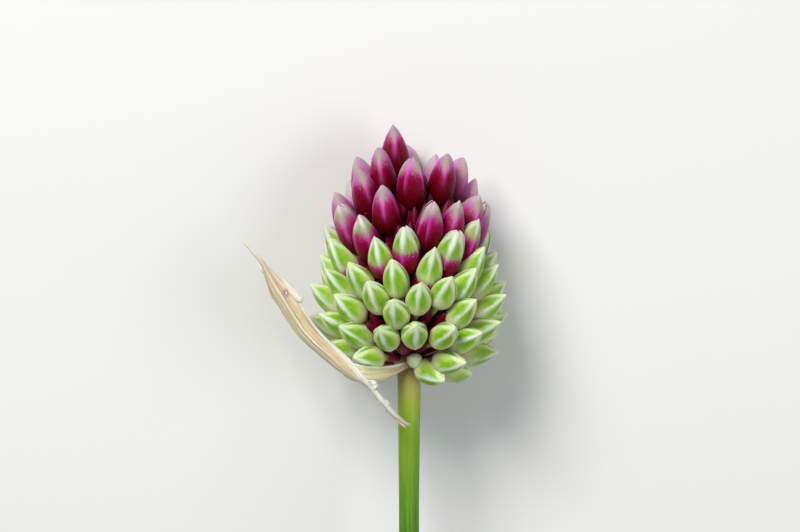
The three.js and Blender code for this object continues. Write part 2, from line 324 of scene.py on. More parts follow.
def screen(*levels):
    """A colour as a screen shows it, red, green and blue from 0 to 255, turned into light."""
    light = [((c / 255 + 0.055) / 1.055) ** 2.4 if c > 10 else c / 255 / 12.92 for c in levels]
    return (*light, 1.0)


floor_finish = Finish("floor_paper", Roughness=0.8, Base_Color=(0.78, 0.78, 0.77, 1))
floor_mesh.materials.append(floor_finish.material)
print("first finish:", floor_finish.material.name)

# %% [markdown]
# ## Where the buds stand
#
# The buds of an umbel come in loose rings, each bud elbowing its neighbours. The rule is the one the
# solid model uses: rings with seeded unevenness, then thirty passes in which neighbours push
# each other apart over the egg-shaped surface. over the egg-shaped surface. The rings' seeds aren't chance: a search picked them,
# so that the front buds come near the places of the photo's.

# %% Scatter the buds over the head
REACH_STEP = 10
REACH = np.array([26.0, 25.2, 22.5, 18.9, 16.0, 14.6, 13.3, 12.0, 11.0, 9.9, 8.6, 7.2])
RINGS = [
    # mean lean, number of buds, turn of the first, seed
    (14.0, 8, 3, 3154061),
    (22.5, 11, -22, 3127976),
    (30.5, 12, -3, 1435797),
    (38.0, 9, 21, 733126),
    (45.0, 14, -10, 1563476),
    (54.5, 14, -7, 1030743),
    (68.0, 16, 3.6, 550950),
    (82.0, 9, 50, 348741),
    (97.0, 5, 37, 1467495),
]
LEAN_SWAY = 5
TURN_SWAY = 8
LEADER_LEAN = 4.5
LEADER_TURN = -60
LEADER_EXTRA = 1.3
BARE_SPOTS = [(94, -32, 20), (82, 8, 10)]  # lean, turn and spread of the places with no full bud
CROWD_GAP = 3.05
CROWD_DEPTH = 3.025
CROWD_PASSES = 30
CROWD_RATE = 0.3


def draws(seed):
    """Uneven draws from 0 to 1, always the same for a seed."""
    state = seed
    while True:
        state = (state * 1664525 + 1013904223) % 2**32
        yield state / 2**32


def reach(lean):
    """How far the tips reach at a lean, on a smooth curve through REACH."""
    place = np.clip(lean, 0, (len(REACH) - 1) * REACH_STEP - 0.001) / REACH_STEP
    i = np.floor(place).astype(int)
    f = place - i
    last = len(REACH) - 1
    before, here = REACH[np.abs(i - 1)], REACH[i]
    after, beyond = REACH[np.minimum(i + 1, last)], REACH[np.minimum(i + 2, last)]
    bend = 2 * before - 5 * here + 4 * after - beyond
    twist = 3 * (here - after) + beyond - before
    return here + 0.5 * f * (after - before + f * (bend + f * twist))


def heading(lean, turn):
    """The way a bud points: lean from the plant's axis, turn round it from the viewer's side."""
    a, t = np.radians(lean), np.radians(turn)
    return np.stack([np.sin(a) * np.sin(t), np.cos(a), np.sin(a) * np.cos(t)], -1)


def scatter():
    leans, turns = [LEADER_LEAN], [LEADER_TURN]
    for mean, count, first, seed in RINGS:
        draw = draws(seed)
        for k in range(count):
            leans.append(mean + LEAN_SWAY * (2 * next(draw) - 1))
            turns.append(first + k * 360 / count + TURN_SWAY * (2 * next(draw) - 1))
    return np.array(leans, float), np.array(turns, float)


def crowd(leans, turns):
    """Neighbours push apart, all but the leading bud."""
    for _ in range(CROWD_PASSES):
        middles = heading(leans, turns) * (reach(leans) - CROWD_DEPTH)[:, None]
        away = middles[:, None] - middles[None]
        distance = np.linalg.norm(away, axis=-1)
        np.fill_diagonal(distance, CROWD_GAP)
        push = np.maximum(CROWD_GAP - distance, 0) / distance
        moved = middles + CROWD_RATE * (away * push[..., None]).sum(1)
        leans[1:] = np.degrees(np.arctan2(np.hypot(moved[1:, 0], moved[1:, 2]), moved[1:, 1]))
        turns[1:] = np.degrees(np.arctan2(moved[1:, 0], moved[1:, 2]))
    return leans, turns


leans, turns = crowd(*scatter())
full = np.ones(len(leans), bool)
for spot_lean, spot_turn, spread in BARE_SPOTS:
    full &= (leans < spot_lean) | (np.abs(turns - spot_turn) > spread)
print("buds on the head:", full.sum())

# %% [markdown]
# ## The size, twist and ripeness of each bud
#
# Buds near the tip are longer and ripen first. Those underneath carry the head as it lies: their soft
# stalks give, so they are eased up until they only just press on the surface.

# %% Finish the buds
RIPE_LENGTH = 6.4
GREEN_LENGTH = 5.4
RIPE_GIRTH = 3.1
GREEN_GIRTH = 2.95
RIPE_LEAN = 33.5  # the solid model parts the purple buds from the green ones here
TIP_PRESS = 0.15
KEEL_FACING = 1.2  # how strongly the keels turn to the side that faces the viewer
LENGTH_SPREAD = 0.05
GIRTH_SPREAD = 0.04
TWIST_SPREAD = 20
LOW_SHRINK = 0.1  # how much shorter the lowest buds are
FINISH_SEED = 41
SOLID_RINGS = np.array([(0.0, 0.44), (0.16, 0.88), (0.45, 1.0), (0.8, 0.6)])  # the solid bud's outline

UP = np.array([0, -LIE_SIN, LIE_COS])  # straight up from the surface, in the plant's axes


def smooth(value, start, end):
    """A smooth step from 0 at start to 1 at end."""
    share = np.clip((np.asarray(value, float) - start) / (end - start), 0, 1)
    return share * share * (3 - 2 * share)


def finish_bud(index, lean, turn, draw):
    """One bud as a dictionary, in millimetres in the plant's axes."""
    ripe = float(smooth(-lean, -52, -22))
    size = 1 + LENGTH_SPREAD * (2 * next(draw) - 1)
    low = float(smooth(lean, 75, 100))
    length = (GREEN_LENGTH + (RIPE_LENGTH - GREEN_LENGTH) * ripe) * size * (1 - LOW_SHRINK * low)
    girth = (GREEN_GIRTH + (RIPE_GIRTH - GREEN_GIRTH) * ripe) * (1 + GIRTH_SPREAD * (2 * next(draw) - 1))
    twist = math.radians(TWIST_SPREAD * (2 * next(draw) - 1))
    way = heading(lean, turn)
    extra = LEADER_EXTRA if index == 0 else 0
    tip = way * (float(reach(lean)) + extra)
    base = tip - way * length
    slant = math.sqrt(1 - float(way @ UP) ** 2)
    rings = (base @ UP) + SOLID_RINGS[:, 0] * length * (way @ UP)
    rings = rings - girth / 2 * SOLID_RINGS[:, 1] * slant
    lowest = min(float(tip @ UP), float(rings.min())) + REST_DEPTH
    raised = UP * max(0.0, -TIP_PRESS - lowest)
    a, t = math.radians(lean), math.radians(turn)
    keel = np.array([math.cos(a) * math.sin(t), -math.sin(a), math.cos(a) * math.cos(t)])
    front = float(smooth(way[2], -0.35, 0.15))
    keel = keel * (1 - 0.7 * front) + KEEL_FACING * front * (np.array([0, 0, 1.0]) - way * way[2])
    keel = keel / np.linalg.norm(keel)
    side = np.cross(way, keel)
    keel = keel * math.cos(twist) + side * math.sin(twist)
    return {"lean": lean, "turn": turn, "way": way, "keel": keel, "base": base + raised,
            "length": length, "girth": girth}


finish_draw = draws(FINISH_SEED)
buds = [finish_bud(i, leans[i], turns[i], finish_draw) for i in np.flatnonzero(full)]
purple_group = [bud for bud in buds if bud["lean"] < RIPE_LEAN]
green_group = [bud for bud in buds if bud["lean"] >= RIPE_LEAN]

RIPEN_SEED = 7
RIPENING = [  # lean, and how ripe a bud is there
    (20, 1.05), (26, 0.87), (30, 0.66), (33, 0.54), (35, 0.42), (38, 0.25), (42, 0.14), (47, 0.0),
]
RIPEN_SWAY = 1.2  # degrees of lean by which a bud may be ahead or behind
ripen_draw = draws(RIPEN_SEED)
for bud in buds:
    sway = 2 * next(ripen_draw) - 1
    bud["ripeness"] = float(np.interp(bud["lean"] + RIPEN_SWAY * sway, *np.array(RIPENING).T))
    bud["tone"] = next(ripen_draw)
    behind = float(smooth(abs((bud["turn"] + 180) % 360 - 180), 55, 130))
    bud["pale"] = 0.75 * behind * (0.4 + 0.6 * next(ripen_draw))

# Two front buds of the photo turn the seam between two petals to the viewer. The purple buds nearest
# to their places do so here, and round the back chance picks some more.
SEAM_PLACES = [(15, 3), (26, 17)]  # lean and turn
SEAM_SHARE = 0.3  # share of the purple buds at the back
SEAM_TURN = math.radians(60)
SEAM_SEED = 5
seam_draw = draws(SEAM_SEED)
seamed = [max(purple_group, key=lambda bud: bud["way"] @ heading(*place)) for place in SEAM_PLACES]
seamed += [bud for bud in purple_group if bud["way"][2] < 0 and next(seam_draw) < SEAM_SHARE]
for bud in seamed:
    side = np.cross(bud["way"], bud["keel"])
    bud["keel"] = bud["keel"] * math.cos(SEAM_TURN) + side * math.sin(SEAM_TURN)
print("purple buds:", len(purple_group), "green buds:", len(green_group))

# %% [markdown]
# ## Meshes from grids
#
# Petals, stalks and membranes are all sheets of rows and columns, so a few helpers make their faces,
# turn numpy arrays into an object with its values on the points, and take a plain mesh off an object
# that a modifier has shaped.

# %% Make meshes from arrays


def grid(rows, columns, closed=False, start=0, flip=False):
    """Four-sided faces over rows and columns of points, closed round the columns if asked."""
    faces = []
    last = columns if closed else columns - 1
    for i in range(rows - 1):
        for j in range(last):
            k = (j + 1) % columns
            face = (start + i * columns + j, start + i * columns + k,
                    start + (i + 1) * columns + k, start + (i + 1) * columns + j)
            faces.append(face[::-1] if flip else face)
    return faces


def closed_grid(rows, columns):
    """Faces of rows of points round an axis, with a cap at both ends."""
    top = (rows - 1) * columns
    caps = [tuple(range(columns))[::-1], tuple(range(top, top + columns))]
    return grid(rows, columns, closed=True) + caps


def make_object(name, points, faces, values, collection=None, edges=()):
    """An object from points and faces or edges, with named values on its points."""
    mesh = bpy.data.meshes.new(name)
    mesh.from_pydata(np.asarray(points).tolist(), list(edges), faces)
    for key, numbers in values.items():
        numbers = np.asarray(numbers, float)
        kind = "FLOAT_VECTOR" if numbers.ndim == 2 else "FLOAT"
        stored = mesh.attributes.new(key, kind, "POINT")
        stored.data.foreach_set("vector" if numbers.ndim == 2 else "value", numbers.ravel())
    if faces:
        mesh.shade_smooth()
    obj = bpy.data.objects.new(name, mesh)
    (collection or bpy.context.scene.collection).objects.link(obj)
    return obj


def shaped_mesh(obj):
    """The plain mesh that an object's modifier makes of it. The modifier is removed."""
    bpy.context.view_layer.update()
    mesh = bpy.data.meshes.new_from_object(obj.evaluated_get(bpy.context.evaluated_depsgraph_get()))
    obj.modifiers.clear()
    return mesh


def triangle_count(obj):
    return sum(len(polygon.vertices) - 2 for polygon in obj.data.polygons)


print("faces of a closed grid of 3 rows and 4 columns:", len(closed_grid(3, 4)))


# %% [markdown]
# ## One bud, petal by petal
#
# A closed allium bud is three outer petals round three inner ones. Each outer petal is a boat with a
# raised keel. The petal that faces outwards lies over both its neighbours, the next lies over the
# last, so the bud is faintly three-cornered and one broad face is seen on it. Each petal is made as
# a thin closed shell over a grid, in a bud of length 1 and girth 1. A few forms differ in their tips
# and in their lean, and every bud on the head copies one of them.

# %% Shape the bud forms
WIDEST = 0.38  # share of the length at which a bud is widest
PETAL_HALVES = [math.radians(a) for a in (86, 68, 60)]  # half of the turn that each petal takes
PETAL_THICKNESS = 0.016  # as a share of the girth
PETAL_EDGES = [(1, 1), (-1, 1), (-1, -1)]  # which edges of the three petals lie over a neighbour
CORNER = 0.05  # how far a bud is three-cornered, as a share of the radius
RIDGE_WIDTH = 0.22  # of the keel, as a share of half the petal
DIP = 0.008  # hollow on either side of the keel
DIP_PLACE = 0.48
DIP_WIDTH = 0.2
EDGE_LIFT = 0.009  # how far an upper edge stands off, and a lower one lies in
RIPPLE = 0.004
TIP_FLARE = 0.006
EDGE_DROP = 0.02  # how much lower a petal's corners end than its middle
TIP_DROP = 0.035  # how much shorter the second and third petal may be
FORM_BEND = 0.06
ACROSS_COUNT = 11
ALONG_COUNT = 17
INNER_RINGS = 9
INNER_SIDES = 12
FORM_COUNT = 5
FORM_SEED = 23


def outline(along, point, blunt):
    """Half width of a bud at a share of its length, from a round foot to a blunt tip."""
    along = np.asarray(along, float)
    low = np.clip(1 - along / WIDEST, 0, 1)
    high = np.clip((along - WIDEST) / (1 - WIDEST), 0, 1)
    return 0.5 * np.where(along < WIDEST, (1 - low**2.6) ** 0.556, (1 - high**point) ** blunt)


def petal(turn, half_turn, edges, tip, part, shape, wave, keel):
    """Points and values of one outer petal shell."""
    share = np.linspace(0, 1, ALONG_COUNT)
    along = 0.45 * share + 0.55 * 0.5 * (1 - np.cos(math.pi * share))
    across = np.sin(np.linspace(-math.pi / 2, math.pi / 2, ACROSS_COUNT))
    v, u = np.meshgrid(along, across, indexing="ij")
    half = half_turn * (1 - 0.3 * smooth(v, 0.8, 1.0))
    angle = turn + u * half
    radius = outline(0.015 + 0.978 * v, *shape)
    corner = 1 + CORNER * np.cos(3 * (angle - turn)) * smooth(v, 0.02, 0.3)
    ridge = keel * np.exp(-((u / RIDGE_WIDTH) ** 2)) * smooth(v, 0.04, 0.3) * (1 - smooth(v, 0.9, 1))
    dip = DIP * np.exp(-(((np.abs(u) - DIP_PLACE) / DIP_WIDTH) ** 2)) * smooth(v, 0.1, 0.4)
    lift = np.where(u < 0, edges[0], edges[1]) * np.abs(u) ** 1.5 * EDGE_LIFT * smooth(v, 0.0, 0.15)
    ripple = wave * RIPPLE * np.sin(9 * v + 5 * u + turn)
    radius = radius * corner + ridge - dip + lift + ripple
    radius = radius + part * smooth(v, 0.72, 1.0) + TIP_FLARE * smooth(v, 0.9, 1)
    height = v * tip - EDGE_DROP * np.abs(u) ** 2 * smooth(v, 0.8, 1)
    outer = np.stack([radius * np.cos(angle), radius * np.sin(angle), height], -1)
    thin = np.minimum(PETAL_THICKNESS, radius * 0.5)
    inner_radius = radius - thin
    inner = np.stack([inner_radius * np.cos(angle), inner_radius * np.sin(angle), height - 0.003], -1)
    size = ALONG_COUNT * ACROSS_COUNT
    points = np.concatenate([outer.reshape(-1, 3), inner.reshape(-1, 3)])
    faces = grid(ALONG_COUNT, ACROSS_COUNT) + grid(ALONG_COUNT, ACROSS_COUNT, start=size, flip=True)
    top = (ALONG_COUNT - 1) * ACROSS_COUNT
    for j in range(ACROSS_COUNT - 1):
        faces.append((j + 1, j, size + j, size + j + 1))
        faces.append((top + j, top + j + 1, size + top + j + 1, size + top + j))
    for i in range(ALONG_COUNT - 1):
        left, right = i * ACROSS_COUNT, i * ACROSS_COUNT + ACROSS_COUNT - 1
        faces.append((left, left + ACROSS_COUNT, size + left + ACROSS_COUNT, size + left))
        faces.append((right + ACROSS_COUNT, right, size + right, size + right + ACROSS_COUNT))
    return points, faces, np.tile(u.ravel(), 2), np.tile(v.ravel(), 2)


def inner_bud(shape):
    """The three inner petals as one closed body just inside the outer ones."""
    along = np.linspace(0, 1, INNER_RINGS)
    angle = np.linspace(0, 2 * math.pi, INNER_SIDES, endpoint=False)
    v, a = np.meshgrid(along, angle, indexing="ij")
    radius = outline(0.02 + 0.955 * v, *shape) * (0.93 + 0.02 * np.cos(3 * a + math.pi))
    points = np.stack([radius * np.cos(a), radius * np.sin(a), 0.01 + 0.95 * v], -1).reshape(-1, 3)
    return points, closed_grid(INNER_RINGS, INNER_SIDES), np.full(len(points), 0.95), v.ravel()


def bud_form(name, collection, draw, shape, part_most, keel):
    """One form of bud: three outer petals and the inner body."""
    bend = FORM_BEND * (2 * next(draw) - 1)
    lean = FORM_BEND * (2 * next(draw) - 1)
    pieces = [inner_bud(shape)]
    for k, edges in enumerate(PETAL_EDGES):
        tip = 1 - TIP_DROP * k * next(draw)
        part = part_most * next(draw)
        turn = 2 * math.pi * k / 3
        wave = 2 * next(draw) - 1
        pieces.append(petal(turn, PETAL_HALVES[k], edges, tip, part, shape, wave, keel))
    points, faces, start = [], [], 0
    values = {"across": [], "along": [], "leaf": []}
    for number, (piece_points, piece_faces, u, v) in enumerate(pieces):
        points.append(piece_points)
        faces += [tuple(start + i for i in face) for face in piece_faces]
        values["across"].append(u)
        values["along"].append(v)
        values["leaf"].append(np.full(len(u), float(number)))
        start += len(piece_points)
    points = np.concatenate(points)
    points[:, 0] += bend * points[:, 2] * (1 - points[:, 2])
    points[:, 1] += lean * points[:, 2] * (1 - points[:, 2])
    values = {key: np.concatenate(parts) for key, parts in values.items()}
    return make_object(name, points, faces, values, collection)


def form_collection(name):
    forms = bpy.data.collections.new(name)
    bpy.context.scene.collection.children.link(forms)
    return forms


def form_set(name, seed, points, blunts, part_most, keel):
    """A collection of bud forms that differ in their outline and tips."""
    forms = form_collection(name)
    draw = draws(seed)
    for number in range(FORM_COUNT):
        share = number / (FORM_COUNT - 1)
        shape = [first + (last - first) * share for first, last in (points, blunts)]
        bud_form(f"{name}_{number}", forms, draw, shape, part_most * (0.3 + 0.7 * share), keel)
    return forms


green_forms = form_set("green_form", FORM_SEED, (1.65, 1.95), (1.0, 0.9), 0.014, 0.02)
purple_forms = form_set("purple_form", FORM_SEED + 1, (1.75, 2.4), (0.95, 0.75), 0.085, 0.05)

# %% [markdown]
# ## The skin of the buds
#
# The colour of a petal follows its own shape. A pale midrib runs up the keel, its paleness partly its
# own colour and partly a painted highlight. Vivid green lies on either side of it, and the green fades
# to a light yellowish one towards the thin cream margin and the foot. Ripening starts at the foot of
# the bud: a flush of magenta climbs up and deepens to crimson behind it, while the tip stays greyish
# green until the last. Where a bud has turned crimson, a painted highlight, a magenta-lilac glow,
# runs along the keel. All of it is told from two values on every point, across and along the petal,
# and from the ripeness of the bud.

# %% Colour the petals


def petal_finish(name, gloss, tint):
    finish = Finish(name, Subsurface_Weight=0.1, Subsurface_Scale=0.0005, Specular_IOR_Level=gloss,
                    Specular_Tint=tint)
    finish.surface.inputs["Subsurface Radius"].default_value = (1.0, 0.8, 0.3)
    across, along, ripeness, tone, pale, leaf = map(
        finish.attribute, ("across", "along", "ripeness", "tone", "pale", "leaf"))
    side = abs(across)

    own = tone * 61 + leaf * 17
    fibre = finish.cloud(finish.vector(across * 8, along * 1.2, own), 1.6, 3, 0.6)
    patch = finish.cloud(finish.vector(across * 1.6, along * 2.2, own), 1.3, 2)
    mottle = finish.cloud(finish.vector(across * 9, along * 7, own), 1.5, 4, 0.7)
    grain = finish.cloud(finish.places(), 7.0, 2)
    stipple = finish.cloud(finish.places(), 4.2, 4, 0.8)

    # the midrib wanders a little and has watery edges; it fills the tip and fades towards the foot.
    # Its pale colour is partly the midrib's own and partly a painted highlight.
    watery = (fibre - 0.5) * 0.14 + (patch - 0.5) * 0.3 + (mottle - 0.5) * 0.14
    rib_half = finish.rise(along, 0.55, 1.0, 0.0, 0.26)
    rib_half = rib_half + finish.rise(along, 0.25, 0.04, 0.0, 0.12) + watery
    fading = finish.rise(along + (patch - 0.5) * 0.5, 0.08, 0.45, 0.4, 1.0)
    wander = abs(across + (patch - 0.5) * 0.3)
    midrib_and_highlight = finish.rise(wander - rib_half + (mottle - 0.5) * 0.12, -0.09, 0.24, 1, 0) * fading
    # where a painted highlight lies along the keel: a magenta-lilac glow on the crimson parts
    keel_highlight_mask = finish.rise(side - rib_half, -0.06, 0.29, 1, 0) * fading

    # the petal narrows towards its tip, so the pale margin takes up more and more of it
    margin_start = finish.rise(along, 0.62, 1.0, 0.76, 0.08)
    margin = finish.rise(side + (fibre - 0.5) * 0.2 - margin_start, -0.10, 0.26)
    vivid = finish.rise(side + (patch - 0.5) * 0.6 - finish.rise(along, 0.3, 0.75, 0, 0.1), 0.92, 0.28)
    vivid = vivid * finish.rise(along + (fibre - 0.5) * 0.3 + (patch - 0.5) * 0.5, 0.14, 0.60)
    vivid = vivid * finish.rise(mottle, 0.15, 0.6, 0.55, 1.0)
    foot = finish.rise(along + (fibre - 0.5) * 0.3 + (patch - 0.5) * 0.3, 0.1, 0.5, 1, 0)
    cap = finish.rise(along + (fibre - 0.5) * 0.05, 0.89, 0.99)

    pale_edge = finish.ramp(ripeness, [
        (0.2, screen(222, 232, 192)),
        (0.5, screen(216, 220, 204)),
        (0.8, screen(206, 166, 202)),
    ])
    green = finish.coats(screen(208, 222, 140), [
        (tone, screen(186, 212, 88)),
        (vivid, screen(102, 162, 0)),
        (pale * 0.55, screen(212, 226, 134)),
        (finish.rise(fibre, 0.5, 0.85) * 0.25, screen(200, 218, 112)),
        (finish.rise(stipple, 0.5, 0.85) * 0.3, screen(206, 224, 132)),
        # pale midrib: partly its own colour, partly a painted highlight
        (midrib_and_highlight * (tone * 0.26 + 0.6), screen(232, 235, 224)),
        (foot * 0.85, screen(220, 208, 180)),
        (margin * 0.62, pale_edge),
        (cap * 0.5, pale_edge),
    ])

    # how far behind the front of the flush this point lies: 0 at the front, 1 for crimson
    uneven = (mottle - 0.5) * 0.22 + (stipple - 0.5) * 0.22
    uneven = uneven + (fibre - 0.5) * 0.08 - (margin - 0.3) * 0.06
    gap = ripeness * 1.04 - along + uneven
    depth = gap / (ripeness * 0.58 + 0.03)
    full_ripe = finish.rise(ripeness, 0.5, 0.9)
    purple = finish.ramp(depth / 1.4, [
        (0.0, screen(158, 166, 106)),
        (0.07, screen(152, 120, 100)),
        (0.18, screen(156, 54, 102)),
        (0.31, screen(164, 2, 100)),
        (0.44, screen(138, 0, 64)),
        (0.62, screen(110, 0, 26)),
        (0.86, screen(80, 0, 4)),
    ])
    young_flush = finish.rise(full_ripe, 1.0, 0.0) * finish.rise(depth, 0.25, 0.75)
    lilac_side = finish.rise(side + (mottle - 0.5) * 0.2, 0.7, 1.0) * finish.rise(depth, 1.2, 0.5)
    # painted highlight along the keel, kept off the foot of the bud
    keel_highlight = keel_highlight_mask * finish.rise(depth + (stipple - 0.5) * 0.3, 1.3, 0.5)
    keel_highlight = keel_highlight * keel_highlight_mask * finish.rise(along + (stipple - 0.5) * 0.2, 0.2, 0.46)
    lilac_tip = finish.rise(along + (stipple - 0.5) * 0.4 + (mottle - 0.5) * 0.3, 0.66, 0.95)
    tip_start = finish.rise(ripeness, 0.7, 1.0, 0.5, 0.62)
    green_tip = finish.rise(along + (stipple - 0.5) * 0.5 + (fibre - 0.5) * 0.3 - tip_start, 0, 0.3)
    green_tip = green_tip * finish.rise(side + (patch - 0.5) * 0.3 + (stipple - 0.5) * 0.5, 0.7, 0.1)
    faded = along + (stipple - 0.5) * 0.3 + (mottle - 0.5) * 0.3
    bleached = finish.mix(finish.rise(side, 0.3, 0.8), screen(196, 204, 180), screen(212, 174, 214))
    purple = finish.coats(purple, [
        (young_flush * 0.7, screen(120, 0, 34)),
        (lilac_side * full_ripe * 0.7, screen(202, 70, 178)),
        (finish.rise(stipple, 0.56, 0.8) * 0.4, screen(196, 60, 150)),
        # painted highlight along the keel
        (keel_highlight * (full_ripe * 0.4 + 0.4), screen(216, 98, 196)),
        (lilac_tip * full_ripe * 0.75, screen(198, 136, 198)),
        (green_tip * 0.82, screen(140, 158, 108)),
        (pale * finish.rise(faded, 0.15, 0.5), screen(206, 104, 180)),
        (pale * finish.rise(faded, 0.45, 0.8), bleached),
    ])

    skin = finish.mix(finish.rise(gap, -0.17, 0.10), green, purple)

    # a few grains of pollen and dust
    cells = finish.node("ShaderNodeTexVoronoi", None, finish.places(), Scale=0.9)
    chosen = finish.node("ShaderNodeSeparateColor", None, cells.outputs["Color"]).outputs[0]
    near = finish.rise(Socket(finish, cells.outputs["Distance"]), 0.075, 0.045)
    speck = near * finish.rise(Socket(finish, chosen), 0.80, 0.82)
    finish.colour(finish.mix(speck * 0.8, skin, screen(244, 232, 206)))
    finish.roughness(finish.rise(fibre, 0.2, 0.8, 0.36, 0.48))
    finish.bump(fibre * 0.7 + grain * 0.3, 0.35, 0.00005)
    return finish.material


green_skin = petal_finish("green_petal_skin", 0.24, (0.9, 1.0, 0.5, 1))
purple_skin = petal_finish("purple_petal_skin", 0.15, (1.0, 0.4, 0.75, 1))
print("nodes in a petal's skin:", len(green_skin.node_tree.nodes))

# %% [markdown]
# ## Planting the buds
#
# Copying a form to a hundred places is what Geometry Nodes do best. A bare mesh holds one point for
# each bud, with its direction, its keel, its size and its ripeness as values. The tree turns a form
# to that direction, scales it and sets it on the point. The result is realised and baked to a plain
# mesh, so no modifier is left.

# %% Build the planting tree


def tree_with(name, inputs):
    """A node tree with a geometry input and output and named inputs."""
    tree = bpy.data.node_groups.new(name, "GeometryNodeTree")
    tree.interface.new_socket("Geometry", in_out="INPUT", socket_type="NodeSocketGeometry")
    tree.interface.new_socket("Geometry", in_out="OUTPUT", socket_type="NodeSocketGeometry")
    for label, kind in inputs:
        tree.interface.new_socket(label, in_out="INPUT", socket_type=kind)
    return tree, tree.nodes.new("NodeGroupInput"), tree.nodes.new("NodeGroupOutput")


def add_node(tree, kind, settings=None, **sockets):
    """A node of a tree, with its settings and with its sockets linked or set."""
    made = tree.nodes.new(kind)
    for key, value in (settings or {}).items():
        setattr(made, key, value)
    for label, value in sockets.items():
        socket = made.inputs[label.replace("_", " ")]
        if isinstance(value, bpy.types.NodeSocket):
            tree.links.new(value, socket)
        else:
            socket.default_value = value
    return made


def named_value(tree, name, kind="FLOAT"):
    return add_node(tree, "GeometryNodeInputNamedAttribute", {"data_type": kind}, Name=name).outputs[0]


def close_tree(tree, given, result, geometry):
    """Ends a tree: what it grew is made real and gets its skin."""
    real = add_node(tree, "GeometryNodeRealizeInstances", None, Geometry=geometry)
    dressed = add_node(tree, "GeometryNodeSetMaterial", None, Geometry=real.outputs[0],
                       Material=given.outputs["Skin"])
    tree.links.new(dressed.outputs[0], result.inputs[0])
    return tree


def planting_tree():
    tree, given, result = tree_with("plant_buds", [
        ("Forms", "NodeSocketCollection"),
        ("Skin", "NodeSocketMaterial"),
    ])
    forms = add_node(tree, "GeometryNodeCollectionInfo", None, Collection=given.outputs["Forms"],
                     Separate_Children=True, Reset_Children=True)
    facing = add_node(tree, "FunctionNodeAxesToRotation", {"primary_axis": "Z", "secondary_axis": "X"},
                      Primary_Axis=named_value(tree, "way", "FLOAT_VECTOR"),
                      Secondary_Axis=named_value(tree, "keel", "FLOAT_VECTOR"))
    planted = add_node(tree, "GeometryNodeInstanceOnPoints", None, Points=given.outputs["Geometry"],
                       Instance=forms.outputs[0], Pick_Instance=True,
                       Instance_Index=named_value(tree, "form", "INT"),
                       Rotation=facing.outputs[0], Scale=named_value(tree, "size", "FLOAT_VECTOR"))
    return close_tree(tree, given, result, planted.outputs[0])


def bake(name, source, tree, settings, keep):
    """Runs a tree on an object and returns a plain mesh object, with only the values to keep."""
    modifier = source.modifiers.new("grow", "NODES")
    modifier.node_group = tree
    for item in tree.interface.items_tree:
        if item.in_out == "INPUT" and item.name in settings:
            modifier[item.identifier] = settings[item.name]
    mesh = shaped_mesh(source)
    mesh.name = name
    bpy.data.objects.remove(source)
    on_points = [stored.name for stored in mesh.attributes if stored.domain == "POINT"]
    for stored in on_points:
        if stored not in (*keep, "position"):
            mesh.attributes.remove(mesh.attributes[stored])
    obj = bpy.data.objects.new(name, mesh)
    bpy.context.scene.collection.objects.link(obj)
    return obj


bud_planting = planting_tree()
BUD_VALUES = ("across", "along", "leaf", "ripeness", "tone", "pale")
SURFACE_CLEARANCE = 0.01  # a pressed bud stops this far above the surface


def press_flat(obj):
    """Points that would reach into the surface are pressed flat on it."""
    places = np.empty(len(obj.data.vertices) * 3)
    obj.data.vertices.foreach_get("co", places)
    places = places.reshape(-1, 3)
    places[:, 2] = np.maximum(places[:, 2], SURFACE_CLEARANCE * MM)
    obj.data.vertices.foreach_set("co", places.ravel())
    obj.data.update()


def plant(name, group, forms, skin):
    """A piece with a bud for each entry of the group."""
    sizes = np.array([(b["girth"], b["girth"], b["length"]) for b in group]) * MM
    points = make_object(name + "_points", laid([b["base"] for b in group]), [], {
        "way": turned([b["way"] for b in group]),
        "keel": turned([b["keel"] for b in group]),
        "size": sizes,
        "ripeness": [b["ripeness"] for b in group],
        "tone": [b["tone"] for b in group],
        "pale": [b.get("pale", 0.0) for b in group],
    })
    stored = points.data.attributes.new("form", "INT", "POINT")
    stored.data.foreach_set("value", [int(b["tone"] * 997) % len(forms.objects) for b in group])
    piece = bake(name, points, bud_planting, {"Forms": forms, "Skin": skin}, BUD_VALUES)
    press_flat(piece)
    print(name, "triangles:", triangle_count(piece))
    return piece


purple_petals = plant("purple_bud_petals", purple_group, purple_forms, purple_skin)
green_petals = plant("green_bud_petals", green_group, green_forms, green_skin)

# %% [markdown]
# ## Bud stalks
#
# A pedicel runs from the top of the scape out to every bud. It leaves the receptacle steeply and
# bows outwards as it goes, and it swells a little where it takes hold of the bud. Such a rod is a
# path with a thickness, so each one is drawn as a string of points, and Geometry Nodes turn all the
# strings into curves and sweep a round outline along them.

# %% Sweep the stalks
PEDICEL_RADIUS = 0.44
STALK_SUNK = 0.35  # how far a stalk reaches into its bud
ROOT_REACH = 0.9  # how far from the zero point a stalk starts
ROOT_LOWEST = -0.35
STALK_POINTS = 9
STALK_SIDES = 9
STALK_BOW = 0.07  # sideways bow as a share of the length
STALK_SEED = 19


def sweeping_tree():
    tree, given, result = tree_with("sweep_strings", [
        ("Sides", "NodeSocketInt"),
        ("Skin", "NodeSocketMaterial"),
    ])
    curves = add_node(tree, "GeometryNodeMeshToCurve", None, Mesh=given.outputs["Geometry"])
    ring = add_node(tree, "GeometryNodeCurvePrimitiveCircle", {"mode": "RADIUS"},
                    Resolution=given.outputs["Sides"], Radius=1.0)
    swept = add_node(tree, "GeometryNodeCurveToMesh", None, Curve=curves.outputs[0],
                     Profile_Curve=ring.outputs[0], Scale=named_value(tree, "thickness"),
                     Fill_Caps=True)
    rounded = add_node(tree, "GeometryNodeSetShadeSmooth", None, Geometry=swept.outputs[0])
    return close_tree(tree, given, result, rounded.outputs[0])


sweeping = sweeping_tree()


